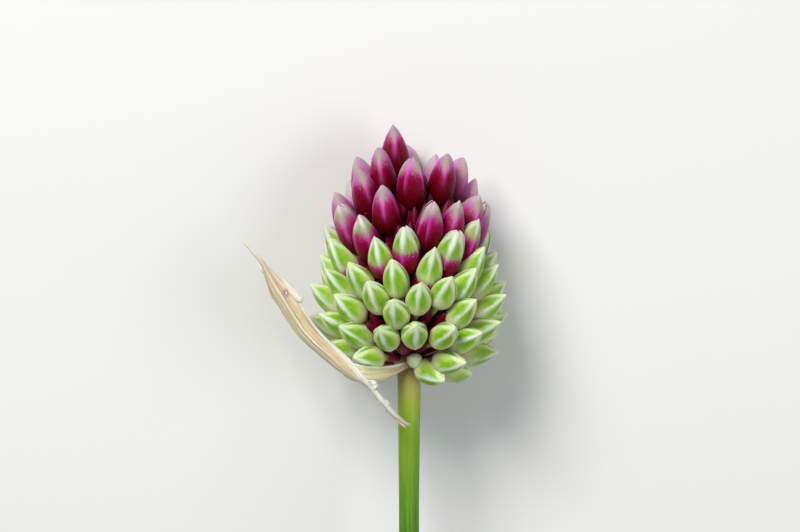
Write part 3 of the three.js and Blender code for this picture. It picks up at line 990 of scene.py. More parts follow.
def sweep(name, strings, sides, skin, keep):
    """A piece of rods. A string is a dictionary of points, thickness and any values to keep."""
    points, edges, values = [], [], {}
    for string in strings:
        start = len(points)
        count = len(string["points"])
        points += string["points"].tolist()
        edges += [(start + i, start + i + 1) for i in range(count - 1)]
        for key, numbers in string.items():
            if key != "points":
                values.setdefault(key, []).extend(np.broadcast_to(numbers, count).tolist())
    values["thickness"] = np.array(values["thickness"]) * MM
    source = make_object(name + "_strings", laid(points), [], values, edges=edges)
    piece = bake(name, source, sweeping, {"Sides": sides, "Skin": skin}, keep)
    print(name, "triangles:", triangle_count(piece))
    return piece


def stalk_string(bud, draw):
    """The string of one bud stalk, from the receptacle into the bud."""
    out = bud["base"] / np.linalg.norm(bud["base"])
    root = out * ROOT_REACH
    root[1] = max(root[1], ROOT_LOWEST)
    end = bud["base"] + bud["way"] * STALK_SUNK
    share = np.linspace(0, 1, STALK_POINTS)[:, None]
    lift = np.array([0, 1.0, 0]) - out * out[1]
    lift = lift / max(np.linalg.norm(lift), 0.2)
    aside = np.cross(out, lift) * (2 * next(draw) - 1) * 0.5
    bow = (lift * 0.6 + aside) * STALK_BOW * np.linalg.norm(end - root)
    points = root + (end - root) * share + bow * 4 * share * (1 - share)
    share = share[:, 0]
    swell = 1 + 0.22 * smooth(share, 0.72, 1.0) + 0.12 * smooth(share, 0.2, 0.0)
    narrow = 0.62 + 0.38 * smooth(share, 0.0, 0.45)
    return {"points": points, "thickness": PEDICEL_RADIUS * swell * narrow, "reached": share,
            "ripeness": bud["ripeness"], "tone": bud["tone"]}


def stalk_finish():
    """Olive green under the green buds, crimson under the ripe ones and where they spring."""
    finish = Finish("stalk_skin", Roughness=0.42, Subsurface_Weight=0.1, Subsurface_Scale=0.0005)
    reached = finish.attribute("reached")
    ripeness = finish.attribute("ripeness")
    tone = finish.attribute("tone")
    fibre = finish.cloud(finish.places(), 1.6, 3, 0.6)
    green = finish.mix(finish.rise(reached, 0.55, 1.0), screen(128, 132, 48), screen(176, 196, 104))
    flush = finish.rise(reached + (fibre - 0.5) * 0.3, 0.95, 0.6)
    redness = finish.rise(ripeness * 1.4 + flush * 0.9 + (tone - 0.5) * 0.3, 0.3, 1.0)
    crimson = finish.mix(fibre, screen(98, 4, 30), screen(136, 14, 60))
    finish.colour(finish.mix(redness, green, crimson))
    finish.bump(fibre, 0.3, 0.00006)
    return finish.material


stalk_skin = stalk_finish()
stalk_draw = draws(STALK_SEED)
stalk_values = ("reached", "ripeness", "tone")
green_strings = [stalk_string(bud, stalk_draw) for bud in green_group]
purple_strings = [stalk_string(bud, stalk_draw) for bud in purple_group]
green_stalks = sweep("green_bud_stalks", green_strings, STALK_SIDES, stalk_skin, stalk_values)
purple_stalks = sweep("purple_bud_stalks", purple_strings, STALK_SIDES, stalk_skin, stalk_values)

# %% [markdown]
# ## Young buds between the stalks
#
# An umbel is never hollow. Buds that will open later are packed between the stalks of the first ones,
# small and dark crimson, and they are what shows in every gap. They are planted by the same tree as
# the others. A spiral offers evenly spread places, and a place is taken where no full bud stands.

# %% Plant the young buds
YOUNG_OFFERED = 1400
YOUNG_MOST_LEAN = 74
YOUNG_DEPTH = 4.2  # how far the tips of the young buds stay under the tips of the full ones
YOUNG_LEAST_REACH = 2.2
YOUNG_APART = 1.3
YOUNG_CLEAR = 1.1
YOUNG_LENGTHS = (3.3, 0.8)  # the least, and the spread above it
YOUNG_GIRTHS = (1.2, 0.35)
YOUNG_DEPTH_SPREAD = 0.8
YOUNG_STALK_SHARE = 0.55  # of the thickness of a full bud's stalk
YOUNG_STALK_SIDES = 6
YOUNG_ROWS = 8
YOUNG_SIDES = 12
YOUNG_SEED = 77
GOLDEN_TURN = 137.507764


def young_form(name, collection):
    """A small plain bud: faintly three-cornered, of length 1 and girth 1."""
    along = np.linspace(0, 1, YOUNG_ROWS)
    angle = np.linspace(0, 2 * math.pi, YOUNG_SIDES, endpoint=False)
    v, a = np.meshgrid(along, angle, indexing="ij")
    radius = outline(0.03 + 0.95 * v, 2.0, 0.8) * (1 + 0.07 * np.cos(3 * a))
    points = np.stack([radius * np.cos(a), radius * np.sin(a), v], -1).reshape(-1, 3)
    values = {"across": np.abs((a.ravel() * 3 / (2 * math.pi) + 0.5) % 1 - 0.5) * 2, "along": v.ravel()}
    return make_object(name, points, closed_grid(YOUNG_ROWS, YOUNG_SIDES), values, collection)


def young_places():
    """Direction and reach of each young bud, clear of the full buds and of the others."""
    number = np.arange(YOUNG_OFFERED)
    cosines = 1 - number / YOUNG_OFFERED * (1 - math.cos(math.radians(YOUNG_MOST_LEAN)))
    offered_leans = np.degrees(np.arccos(cosines))
    offered_turns = (number * GOLDEN_TURN) % 360
    full_ways = np.array([bud["way"] for bud in buds])
    taken = []
    for lean, turn in zip(offered_leans, offered_turns):
        way = heading(lean, turn)
        depth = float(reach(lean)) - YOUNG_DEPTH
        if depth < YOUNG_LEAST_REACH:
            continue
        clear = depth * np.linalg.norm(np.cross(full_ways, way), axis=1)[full_ways @ way > 0]
        if clear.min() < YOUNG_CLEAR:
            continue
        if all(np.linalg.norm(way * depth - other * far) > YOUNG_APART for other, far in taken):
            taken.append((way, depth))
    return taken


young_draw = draws(YOUNG_SEED)
young_group = []
young_strings = []
for way, depth in young_places():
    length = YOUNG_LENGTHS[0] + YOUNG_LENGTHS[1] * next(young_draw)
    depth = depth + YOUNG_DEPTH_SPREAD * (next(young_draw) - 0.5)
    spin = 2 * math.pi * next(young_draw)
    side = np.cross(way, [0.3, 0.1, 1.0])
    side /= np.linalg.norm(side)
    keel = side * math.cos(spin) + np.cross(way, side) * math.sin(spin)
    bud = {"way": way, "keel": keel, "base": way * (depth - length), "length": length,
           "girth": YOUNG_GIRTHS[0] + YOUNG_GIRTHS[1] * next(young_draw),
           "ripeness": 1.0, "tone": next(young_draw)}
    young_group.append(bud)
    string = stalk_string(bud, young_draw)
    string["thickness"] = string["thickness"] * YOUNG_STALK_SHARE
    young_strings.append(string)


def young_finish():
    """Deep crimson, magenta on the ridges."""
    finish = Finish("young_bud_skin", Roughness=0.45, Specular_IOR_Level=0.2)
    across = finish.attribute("across")
    along = finish.attribute("along")
    tone = finish.attribute("tone")
    fibre = finish.cloud(finish.vector(across * 6, along * 1.2, tone * 61), 1.6, 3, 0.6)
    skin = finish.mix(finish.rise(fibre, 0.3, 0.7), screen(66, 0, 12), screen(116, 0, 44))
    ridge = finish.rise(across + (fibre - 0.5) * 0.3, 0.3, 0.0) * finish.rise(along, 0.2, 0.9)
    finish.colour(finish.mix(ridge * 0.35, skin, screen(160, 24, 96)))
    finish.bump(fibre, 0.3, 0.00005)
    return finish.material


young_forms = form_collection("young_forms")
young_form("young_form_0", young_forms)
young_buds = plant("young_buds", young_group, young_forms, young_finish())
young_stalks = sweep("young_bud_stalks", young_strings, YOUNG_STALK_SIDES, stalk_skin, stalk_values)
print("young buds:", len(young_group))

# %% [markdown]
# ## Scape
#
# The scape is a smooth round stalk, a little thicker at the top, where it ends in a low knob that all
# the bud stalks spring from. It was picked with a slanting cut. It is turned from a profile, like a
# candlestick, with the cut face closed by smaller rings: a dark rim, pale flesh and a softer pith.

# %% Turn the scape
SCAPE_LENGTH = 28.0
SCAPE_PROFILE = [(-SCAPE_LENGTH, 1.18), (-16.0, 1.18), (-9.0, 1.26), (-4.0, 1.34),
                 (SCAPE_TOP, SCAPE_TOP_RADIUS)]  # height and radius
CUT_SLOPE = 0.35
CUT_HEIGHT = 4  # over this much of the scape's end the slant fades out
CUT_RINGS = [(0.02, 0.10), (0.45, 0.13), (0.80, 0.07), (0.93, 0.02)]  # share of the radius, dish in mm
KNOB_PROFILE = [(1.40, -0.75), (1.62, -0.5), (1.84, -0.22), (1.9, 0.1), (1.78, 0.45), (1.5, 0.76),
                (1.0, 0.95), (0.5, 1.04), (0.03, 1.06)]  # radius and height
SCAPE_SIDES = 48
SCAPE_ROWS = 60


def turn_scape():
    heights = np.linspace(-SCAPE_LENGTH, SCAPE_TOP, SCAPE_ROWS)
    radii = np.interp(heights, *np.array(SCAPE_PROFILE).T)
    angle = np.linspace(0, 2 * math.pi, SCAPE_SIDES, endpoint=False)
    flat = 1 + 0.02 * np.cos(2 * angle + 0.6)
    rows = [(radii[0] * share, -SCAPE_LENGTH + dish, 1 - share) for share, dish in CUT_RINGS]
    rows += [(radius, height, 0.0) for radius, height in [*zip(radii, heights), *KNOB_PROFILE]]
    points = []
    for radius, height, _ in rows:
        slant = CUT_SLOPE * smooth(height, -SCAPE_LENGTH + CUT_HEIGHT, -SCAPE_LENGTH)
        x = radius * flat * np.sin(angle)
        z = radius * flat * np.cos(angle)
        points.append(np.stack([x, height + slant * x, z], -1))
    points = np.concatenate(points)
    values = {"plant": points, "cut": np.repeat([inside for _, _, inside in rows], SCAPE_SIDES)}
    return make_object("scape_skin", laid(points), closed_grid(len(rows), SCAPE_SIDES), values)


def scape_finish():
    """Vivid green low down, yellower above, and tan to pink just under the head.
    The deeper green towards the cut end is partly its own colour and partly painted shade.
    """
    finish = Finish("scape_finish", Roughness=0.4, Subsurface_Weight=0.1, Subsurface_Scale=0.0006,
                    Specular_IOR_Level=0.3)
    place = finish.node("ShaderNodeAttribute", {"attribute_name": "plant"}).outputs["Vector"]
    parts = finish.node("ShaderNodeSeparateXYZ", None, place)
    x, y, z = [Socket(finish, parts.outputs[i]) for i in range(3)]
    fibre = finish.cloud(finish.vector(x * 3.4, y * 0.16, z * 3.4), 1.0, 4, 0.6)
    patch = finish.cloud(finish.vector(x * 0.5, y * 0.3, z * 0.5), 1.0, 2)
    height = y + (patch - 0.5) * 1.6
    # the low stops are darker partly by the scape's own colour and partly as painted shade
    skin = finish.ramp(finish.rise(height, -SCAPE_LENGTH, 0), [
        (0.0, screen(50, 106, 0)),
        (0.45, screen(70, 124, 0)),
        (0.78, screen(112, 148, 8)),
        (0.92, screen(146, 162, 44)),
        (0.975, screen(164, 152, 84)),
        (1.0, screen(156, 126, 84)),
    ])
    skin = finish.mix(finish.rise(fibre, 0.35, 0.75) * 0.3, skin, screen(148, 180, 54))
    inside = finish.attribute("cut")
    flesh = finish.mix(finish.rise(inside, 0.15, 0.7), screen(176, 196, 120), screen(226, 230, 190))
    finish.colour(finish.mix(finish.rise(inside, 0.01, 0.05), skin, flesh))
    finish.bump(fibre, 0.5, 0.00008)
    return finish.material


scape_skin = turn_scape()
scape_skin.data.materials.append(scape_finish())
print("scape_skin triangles:", triangle_count(scape_skin))

# %% [markdown]
# ## Spathe
#
# The spathe is a dry membrane. Points of its two edges were read off the photo, and the depth of its
# middle line was judged from the shading. A sheet is spanned between the edges, with a fold
# along it and fine lengthwise pleats. Along its right side the edge has curled forward into a roll,
# and below the membrane only this roll is left, as a withered tail. So the sheet and the roll are one
# grid: its columns cross the membrane and then go round the roll.

# %% Span the spathe
SHEATH_AXIS = np.array([0.66, -0.75])  # the way the spathe runs, from its beak to its tail
SHEATH_LEFT = np.array([
    (-18.95, 13.53), (-18.32, 12.83), (-17.60, 11.95), (-16.90, 11.07), (-16.49, 9.83), (-16.20, 8.87),
    (-15.91, 7.99), (-15.54, 7.11), (-14.95, 6.45), (-14.30, 5.28), (-13.56, 4.18), (-12.61, 2.87),
    (-11.38, 1.68), (-9.77, 0.31), (-8.15, -0.98), (-6.54, -1.94), (-5.57, -2.41), (-4.53, -3.08),
    (-3.47, -4.77), (-2.10, -6.14), (-1.30, -7.02), (-0.66, -7.52),
])
SHEATH_RIGHT = np.array([
    (-18.47, 13.48), (-17.95, 12.90), (-16.93, 12.02), (-16.13, 11.07), (-15.32, 10.26), (-14.74, 9.60),
    (-13.85, 8.79), (-13.28, 7.93), (-12.46, 6.60), (-11.72, 5.49), (-11.00, 4.32), (-9.77, 2.98),
    (-8.15, 1.60), (-6.86, 0.47), (-5.90, -0.57), (-5.09, -1.62), (-4.36, -2.34), (-3.71, -3.16),
    (-2.91, -4.21), (-2.26, -4.93), (-1.70, -5.74), (-0.90, -6.46), (0.07, -7.39),
])
# each row of the next tables: how far along the spathe, and the value there, in millimetres
SHEATH_DEPTHS = [(-22.3, 5.2), (-19.15, 5.7), (-16.5, 6.3), (-13.4, 7.1), (-10.4, 7.9), (-7.6, 8.6),
                 (-4.5, 9.1), (-2.1, 8.9), (0.62, 8.0), (5.27, 5.9)]
SHEATH_BULGE = [(-22.3, 0.1), (-19.5, 0.35), (-16.5, 0.6), (-13.4, 0.9), (-8.0, 1.0), (-4.5, 0.7),
                (-2.0, 0.3), (1.0, 0.05), (5.3, 0.0)]
FOLD_HEIGHTS = [(-20.0, 0.0), (-17.5, 0.25), (-13.0, 0.42), (-9.0, 0.3), (-5.0, 0.0)]
VALLEY_DEPTHS = [(-20.0, 0.0), (-18.0, 0.2), (-14.0, 0.5), (-12.6, 0.1), (-11.0, 0.05), (-4.0, 0.15)]
ROLL_WIDTHS = [(-22.3, 0.05), (-19.0, 0.16), (-13.5, 0.2), (-11.0, 0.2), (-8.7, 0.35), (-6.6, 0.57),
               (-4.9, 0.74), (-2.1, 0.97), (-1.1, 0.9), (0.0, 0.8), (1.2, 0.7), (2.2, 0.6), (3.2, 0.55),
               (4.3, 0.45), (5.6, 0.2)]
FOLD_PLACE = 0.42  # share of the width at which the fold stands
VALLEY_PLACE = 0.7
HOLE_PLACE = np.array([-13.95, 7.77])
HOLE_SIZE = np.array([0.19, 0.22])
HOLE_SHADE_REACH = 0.4  # how far round the hole the membrane is darkened as painted shade
SHEATH_RUN = (-22.6, 5.5)
SHEATH_ROWS = 230
SHEET_COLUMNS = 40
ROLL_COLUMNS = 16
ROLL_TURN = math.radians(255)
SHEATH_THICKNESS = 0.08


def along_sheath(points):
    return points @ SHEATH_AXIS


def eased(values, spread=4):
    """Values with their corners eased by a running mean."""
    padded = np.pad(values, spread, mode="reflect", reflect_type="odd")
    return np.convolve(padded, np.ones(2 * spread + 1) / (2 * spread + 1), mode="valid")


def edge_line(edge, t):
    return np.stack([eased(np.interp(t, along_sheath(edge), edge[:, i])) for i in (0, 1)], -1)


def table_line(table, t):
    return eased(np.interp(t, *np.array(table).T))


def sheath_grid():
    """Points of the spathe, in rows from the beak to the tail."""
    t = np.linspace(*SHEATH_RUN, SHEATH_ROWS)
    left = edge_line(SHEATH_LEFT, t)
    right = edge_line(SHEATH_RIGHT, t)
    depth = eased(table_line(SHEATH_DEPTHS, t), 14)
    tables = (SHEATH_BULGE, FOLD_HEIGHTS, VALLEY_DEPTHS, ROLL_WIDTHS)
    bulge, fold, valley, roll = [table_line(table, t) for table in tables]
    span = right - left
    width = np.linalg.norm(span, axis=1)
    across = span / width[:, None]
    roll = np.minimum(roll, width * 0.9)
    sheet_end = right - across * (roll / 2)[:, None]
    broad = np.minimum(width / 2.5, 1)
    columns, shares = [], []
    for share in np.linspace(0, 1, SHEET_COLUMNS):
        flat = left + (sheet_end - left) * share
        pleat = 0.05 * np.sin(share * 26 + 0.3 * t) + 0.04 * np.sin(share * 47 - 0.22 * t + 1)
        pleat = pleat + 0.05 * np.sin(1.7 * t + 6 * share) * (1 - share)
        pleat = pleat * broad * math.sin(math.pi * min(share * 1.3 + 0.08, 1))
        z = depth + bulge * (0.4 - (2 * share - 1) ** 2) + pleat
        z = z + fold * math.exp(-((share - FOLD_PLACE) / 0.11) ** 2)
        z = z - valley * math.exp(-((share - VALLEY_PLACE) / 0.13) ** 2)
        z = z - 0.35 * broad * max(0, 1 - share / 0.16) ** 2
        columns.append(np.stack([flat[:, 0], flat[:, 1], z], -1))
        shares.append(np.full(SHEATH_ROWS, share))
    start = columns[-1]
    dent = 1 + 0.05 * np.sin(1.3 * t) + 0.02 * np.sin(5.1 * t + 1)
    for step in np.linspace(0, 1, ROLL_COLUMNS)[1:]:
        turn = step * ROLL_TURN
        radius = roll / 2 * (1 - 0.25 * step)
        aside = np.sin(turn) * radius
        forward = (1 - np.cos(turn)) * radius * 0.75 * dent
        flat = start[:, :2] + across * aside[:, None]
        columns.append(np.stack([flat[:, 0], flat[:, 1], start[:, 2] + forward], -1))
        shares.append(np.full(SHEATH_ROWS, 1 + step))
    points = np.stack(columns, 1).reshape(-1, 3)
    # how near each point lies to the hole, for the painted shade round it
    from_hole = np.linalg.norm(points[:, :2] - HOLE_PLACE, axis=1)
    values = {"across": np.stack(shares, 1).ravel(), "run": np.repeat(t, len(columns)),
              "wear": np.exp(-((from_hole / HOLE_SHADE_REACH) ** 2))}
    faces = []
    for face in grid(SHEATH_ROWS, len(columns)):
        off = (points[list(face), :2].mean(0) - HOLE_PLACE) / HOLE_SIZE
        if off @ off > 1 + 0.5 * math.sin(3 * math.atan2(off[1], off[0]) + 0.6):
            faces.append(face)
    return points, faces, values


def dry_sheet(name, points, faces, values, thickness, skin):
    """A piece made of a sheet. Its thickness is applied, so that the mesh is closed."""
    obj = make_object(name, laid(points), faces, values)
    modifier = obj.modifiers.new("thickness", "SOLIDIFY")
    modifier.thickness = thickness * MM
    modifier.offset = 0
    obj.data = shaped_mesh(obj)
    obj.data.materials.append(skin)
    return obj


def flat_size(points, columns):
    """Length down the middle and greatest width of a sheet laid flat, in millimetres."""
    rows = points.reshape(-1, columns, 3)
    length = np.linalg.norm(np.diff(rows[:, columns // 2], axis=0), axis=1).sum()
    width = np.linalg.norm(np.diff(rows, axis=1), axis=2).sum(axis=1).max()
    return round(float(length), 1), round(float(width), 1)


def sheath_finish():
    """Straw-coloured membrane with browner veins, paler folds and a cream roll. Painted shade lies
    in a line beside the roll and in a brown ring round the hole; the roll whitens towards the tail,
    partly as painted light.
    """
    finish = Finish("dry_membrane", Roughness=0.65, Subsurface_Weight=0.12, Subsurface_Scale=0.0004)
    across = finish.attribute("across")
    run = finish.attribute("run")
    vein = finish.cloud(finish.vector(across * 11, run * 0.16, 3.0), 1.3, 4, 0.7)
    fine = finish.cloud(finish.vector(across * 21, run * 0.2, 1.0), 1.0, 3, 0.65)
    patch = finish.cloud(finish.vector(across * 2.4, run * 0.45, 9.0), 1.0, 2)
    crumple = finish.cloud(finish.places(), 1.6, 3, 0.6)
    skin = finish.ramp(vein + (fine - 0.5) * 0.3 + (crumple - 0.5) * 0.15, [
        (0.24, screen(152, 124, 86)),
        (0.36, screen(184, 162, 120)),
        (0.48, screen(202, 188, 152)),
        (0.62, screen(214, 204, 176)),
        (0.8, screen(228, 222, 202)),
    ])
    line = finish.rise(fine, 0.45, 0.31) * finish.rise(patch, 0.3, 0.6, 0.3, 1.0)
    warm = finish.rise(patch, 0.5, 0.7) * finish.rise(across, 0.35, 0.6)
    lower_edge = finish.rise(across, 0.45, 0.1) * finish.rise(run, -16, -10)
    fold = finish.rise(abs(across - FOLD_PLACE), 0.07, 0.0) * finish.rise(run, -6, -10)
    valley = finish.rise(abs(across - VALLEY_PLACE), 0.16, 0.04) * finish.rise(run, -13, -15)
    # painted shadow: a dark brown line beside the roll
    roll_shadow_line = finish.rise(abs(across - 0.95), 0.08, 0.0) * finish.rise(run, -13, -9)
    skin = finish.coats(skin, [
        (line * 0.75, screen(140, 102, 66)),
        (warm * 0.35, screen(206, 170, 134)),
        (lower_edge * 0.5, screen(212, 212, 164)),
        (fold * 0.5, screen(230, 222, 200)),
        (valley * (0.45 + vein * 0.5), screen(190, 164, 160)),
        # painted shade: a dark brown ring round the hole, so that the hole reads dark
        (finish.attribute("wear") * 0.8, screen(110, 78, 48)),
        # painted shadow line beside the roll
        (roll_shadow_line * 0.85, screen(120, 84, 48)),
        (finish.rise(run, -18.5, -21.5) * 0.8, screen(234, 228, 212)),
    ])
    tail = finish.rise(run, -2.6, -0.6)
    rolled = finish.rise(across + (fine - 0.5) * 0.1 + tail * 0.8, 0.98, 1.06)
    # towards the tail the roll whitens: partly its own colour, partly painted light that makes up for the
    # tail's tilt away from the main lamp
    white = finish.rise(vein + (fine - 0.5) * 0.3, 0.35, 0.6) * 0.6 + finish.rise(run, -5, 0) * 0.4
    cream = finish.mix(white, screen(210, 200, 180), screen(242, 239, 230))
    cream = finish.mix(finish.rise(run + (vein - 0.5) * 3, 2.6, 4.4) * 0.55, cream, screen(200, 180, 146))
    finish.colour(finish.mix(rolled * 0.95, skin, cream))
    finish.bump(vein * 0.4 + fine * 0.4 + crumple * 0.2, 0.9, 0.00018)
    return finish.material


sheath_skin = sheath_finish()
sheath_parts = sheath_grid()
sheath = dry_sheet("spathe_membrane", *sheath_parts, SHEATH_THICKNESS, sheath_skin)
print("membrane laid flat, mm:", flat_size(sheath_parts[0], SHEET_COLUMNS + ROLL_COLUMNS - 1))

# %% [markdown]
# ## Curled flap
#
# At the upper right the margin has come loose and stands up as a pale flap with a round end. Beside it
# the membrane has worn into a small hole. The flap is a domed leaf along a short line: its rows grow
# wider and close again at the end.

# %% Curl the flap
FLAP_LINE = np.array([(-14.6, 9.4, 5.95), (-14.0, 8.68, 6.2), (-13.4, 7.92, 6.5), (-12.8, 7.26, 6.75),
                      (-12.18, 6.72, 6.9)])
FLAP_HALVES = [(0.0, 0.06), (0.25, 0.3), (0.5, 0.5), (0.75, 0.58), (0.9, 0.5), (0.97, 0.3), (1.0, 0.06)]
FLAP_ACROSS = np.array([0.75, 0.66, 0.0])
FLAP_ROWS = 30
FLAP_COLUMNS = 14


def flap_grid():
    share = np.linspace(0, 1, FLAP_ROWS)
    knots = np.linspace(0, 1, len(FLAP_LINE))
    line = np.stack([np.interp(share, knots, FLAP_LINE[:, i]) for i in range(3)], -1)
    half = np.interp(share, *np.array(FLAP_HALVES).T)
    points, across = [], []
    for i in range(FLAP_ROWS):
        for j, w in enumerate(np.linspace(-1, 1, FLAP_COLUMNS)):
            curl = 0.6 * half[i] * (1 - w * w) - 0.6 * half[i] * max(0, -w) ** 2
            crease = 0.03 * math.sin(9 * w + 5 * share[i])
            points.append(line[i] + FLAP_ACROSS * w * half[i] + np.array([0, 0, curl + crease]))
            across.append(0.86 + 0.9 * j / FLAP_COLUMNS)
    points = np.array(points)
    values = {"across": across, "run": np.repeat(-16 + 3 * share, FLAP_COLUMNS)}
    return points, grid(FLAP_ROWS, FLAP_COLUMNS), values


flap_parts = flap_grid()
flap = dry_sheet("spathe_flap", *flap_parts, SHEATH_THICKNESS, sheath_skin)
print("flap laid flat, mm:", flat_size(flap_parts[0], FLAP_COLUMNS))

# %% [markdown]
# ## Shreds
#
# Where the membrane has torn, crumpled white shreds are left at its side: one where the bare roll goes
# on alone, one at the beak and one on the tail. Each is a small sheet with a jagged free edge, in the
# same finish as the roll.

# %% Tear the shreds
SHREDS = [
    # first and last point of the root, the way to the free edge, how far that is, how much it domes
    ((-4.75, -2.15, 8.95), (-3.95, -3.2, 8.5), (0.98, 0.1, -0.15), 0.85, 0.25),
    ((-16.62, 11.05, 5.5), (-16.3, 9.95, 5.5), (-0.95, -0.25, -0.25), 0.52, 0.03),
    ((-2.75, -4.5, 7.95), (-2.35, -5.0, 7.75), (0.8, 0.5, 0.0), 0.28, 0.05),
]
SHRED_ROWS = 15
SHRED_COLUMNS = 9
SHRED_SEED = 53


def shred_grid(draw, root, end, way, reach_out, dome):
    root, end, way = np.array(root), np.array(end), np.array(way)
    points, across = [], []
    for i in range(SHRED_ROWS):
        share = i / (SHRED_ROWS - 1)
        jag = 0.19 * math.sin(11 * share) + 0.12 * math.sin(23 * share + 1) + 0.07 * next(draw)
        length = reach_out * (math.sin(math.pi * (0.22 + 0.75 * share)) + jag)
        for j in range(SHRED_COLUMNS):
            out = j / (SHRED_COLUMNS - 1)
            point = root + (end - root) * share + way * out * length
            crumple = 0.08 * math.sin(6 * share + 6 * out) + 0.05 * math.sin(13 * share - 5 * out)
            rise = dome * math.sin(2.4 * out) + crumple * (0.3 + out) * reach_out
            points.append(point + np.array([0, 0, rise]))
            across.append(1.5 + 0.4 * out)
    return np.array(points), across


def all_shreds(draw):
    """Points, faces and values of all the shreds as one sheet."""
    points, across, faces = [], [], []
    for entry in SHREDS:
        start = sum(len(part) for part in points)
        more, values = shred_grid(draw, *entry)
        faces += grid(SHRED_ROWS, SHRED_COLUMNS, start=start, flip=entry[2][0] < 0)
        points.append(more)
        across += values
        print("shred laid flat, mm:", flat_size(more, SHRED_COLUMNS))
    run = np.tile(np.repeat(np.linspace(0.5, 1.5, SHRED_ROWS), SHRED_COLUMNS), len(SHREDS))
    return np.concatenate(points), faces, {"across": across, "run": run}


shreds = dry_sheet("spathe_shreds", *all_shreds(draws(SHRED_SEED)), SHEATH_THICKNESS, sheath_skin)

# %% [markdown]
# ## Claw
#
# A narrow neck, the claw, still holds the spathe to the top of the scape. It is a shallow trough of
# thicker tissue with a white rim, cream with a little pink in its veins towards the scape.

# %% Shape the claw
CLAW_TOP = np.array([(0.45, 0.0, 1.5), (-0.18, -0.17, 2.2), (-0.95, -0.42, 2.9), (-1.95, -0.62, 3.9),
                     (-3.3, -0.70, 5.9), (-4.6, -0.66, 7.8), (-5.5, -0.45, 8.7), (-6.3, -0.2, 8.9)])
CLAW_BOTTOM = np.array([(0.45, -0.85, 1.4), (-0.2, -0.86, 2.1), (-0.95, -1.2, 2.8), (-1.55, -1.52, 3.5),
                        (-2.45, -1.98, 5.3), (-3.35, -2.22, 7.2), (-4.3, -2.22, 8.4), (-5.0, -2.1, 8.7)])
CLAW_ROWS = 60
CLAW_COLUMNS = 20
CLAW_TROUGH = 0.6
CLAW_THICKNESS = 0.2


def claw_grid():
    share = np.linspace(0, 1, CLAW_ROWS)
    knots = np.linspace(0, 1, len(CLAW_TOP))
    top, bottom = [
        np.stack([eased(np.interp(share, knots, edge[:, i]), 3) for i in range(3)], -1)
        for edge in (CLAW_TOP, CLAW_BOTTOM)
    ]
    columns, across = [], []
    for w in np.linspace(0, 1, CLAW_COLUMNS):
        sunk = CLAW_TROUGH * (1 - (2 * w - 1) ** 2) * smooth(share, 0, 0.4) * (1 - smooth(share, 0.65, 1))
        crease = 0.04 * np.sin(w * 25 + share * 2) * smooth(share, 0, 0.2)
        line = bottom + (top - bottom) * w
        line[:, 2] += crease - sunk
        columns.append(line)
        across.append(np.full(CLAW_ROWS, w))
    points = np.stack(columns, 1).reshape(-1, 3)
    values = {"across": np.stack(across, 1).ravel(), "run": np.repeat(share, CLAW_COLUMNS)}
    return points, grid(CLAW_ROWS, CLAW_COLUMNS), values


def claw_finish():
    finish = Finish("claw_tissue", Roughness=0.5, Subsurface_Weight=0.2, Subsurface_Scale=0.0005)
    across = finish.attribute("across")
    run = finish.attribute("run")
    vein = finish.cloud(finish.vector(across * 9, run * 1.4, 5.0), 1.2, 3, 0.65)
    fine = finish.cloud(finish.vector(across * 26, run * 1.8, 2.0), 1.0, 2, 0.6)
    skin = finish.ramp(vein + (fine - 0.5) * 0.3, [
        (0.3, screen(186, 166, 116)),
        (0.46, screen(218, 212, 164)),
        (0.66, screen(236, 236, 206)),
    ])
    pink = finish.rise(run + (vein - 0.5) * 0.5, 0.62, 0.15)
    tan = finish.rise(across + (vein - 0.5) * 0.4, 0.3, 0.0)
    rim = finish.rise(across + (vein - 0.5) * 0.06, 0.86, 0.95)
    finish.colour(finish.coats(skin, [
        (finish.rise(fine, 0.40, 0.30) * 0.5, screen(160, 128, 82)),
        (pink * 0.65, screen(222, 184, 174)),
        (tan * 0.4, screen(198, 178, 134)),
        (rim * 0.85, screen(246, 243, 232)),
    ]))
    finish.bump(vein * 0.6 + fine * 0.4, 0.7, 0.00016)
    return finish.material


claw_parts = claw_grid()
claw = dry_sheet("spathe_claw", *claw_parts, CLAW_THICKNESS, claw_finish())
print("claw laid flat, mm:", flat_size(claw_parts[0], CLAW_COLUMNS))

# %% [markdown]
# ## Frayed fibres
#
# Where the membrane has torn, stiff fibres stand off from its edge, at the beak, beside the flap and
# along the tail. They are short tapering rods, swept by the same tree as the bud stalks.

# %% Draw the fibres
FIBRE_SEED = 31
FIBRE_SPREAD = 0.12  # how far apart the ends of strands from one place are
FIBRE_BOW = 0.07
FIBRE_POINTS = 7
FIBRE_SIDES = 6
FIBRES = [
    # from, to, how many strands leave there, and their radius
    ((-18.75, 13.3, 5.2), (-19.0, 13.62, 5.15), 2, 0.07),
    ((-18.6, 13.3, 5.2), (-18.45, 13.6, 5.3), 1, 0.06),
    ((-16.7, 10.9, 5.35), (-17.3, 11.0, 5.35), 1, 0.07),
    ((-14.1, 8.75, 6.1), (-13.36, 8.95, 6.3), 1, 0.08),
    ((-3.5, -4.6, 7.9), (-2.75, -5.75, 7.5), 2, 0.055),
    ((-2.6, -4.55, 7.9), (-2.1, -5.0, 7.75), 1, 0.055),
    ((-1.9, -5.7, 7.1), (-0.75, -6.7, 6.7), 2, 0.055),
    ((-1.0, -7.05, 6.3), (-0.35, -7.6, 6.05), 2, 0.06),
    ((-0.5, -7.0, 6.3), (0.15, -7.4, 6.0), 3, 0.07),
]


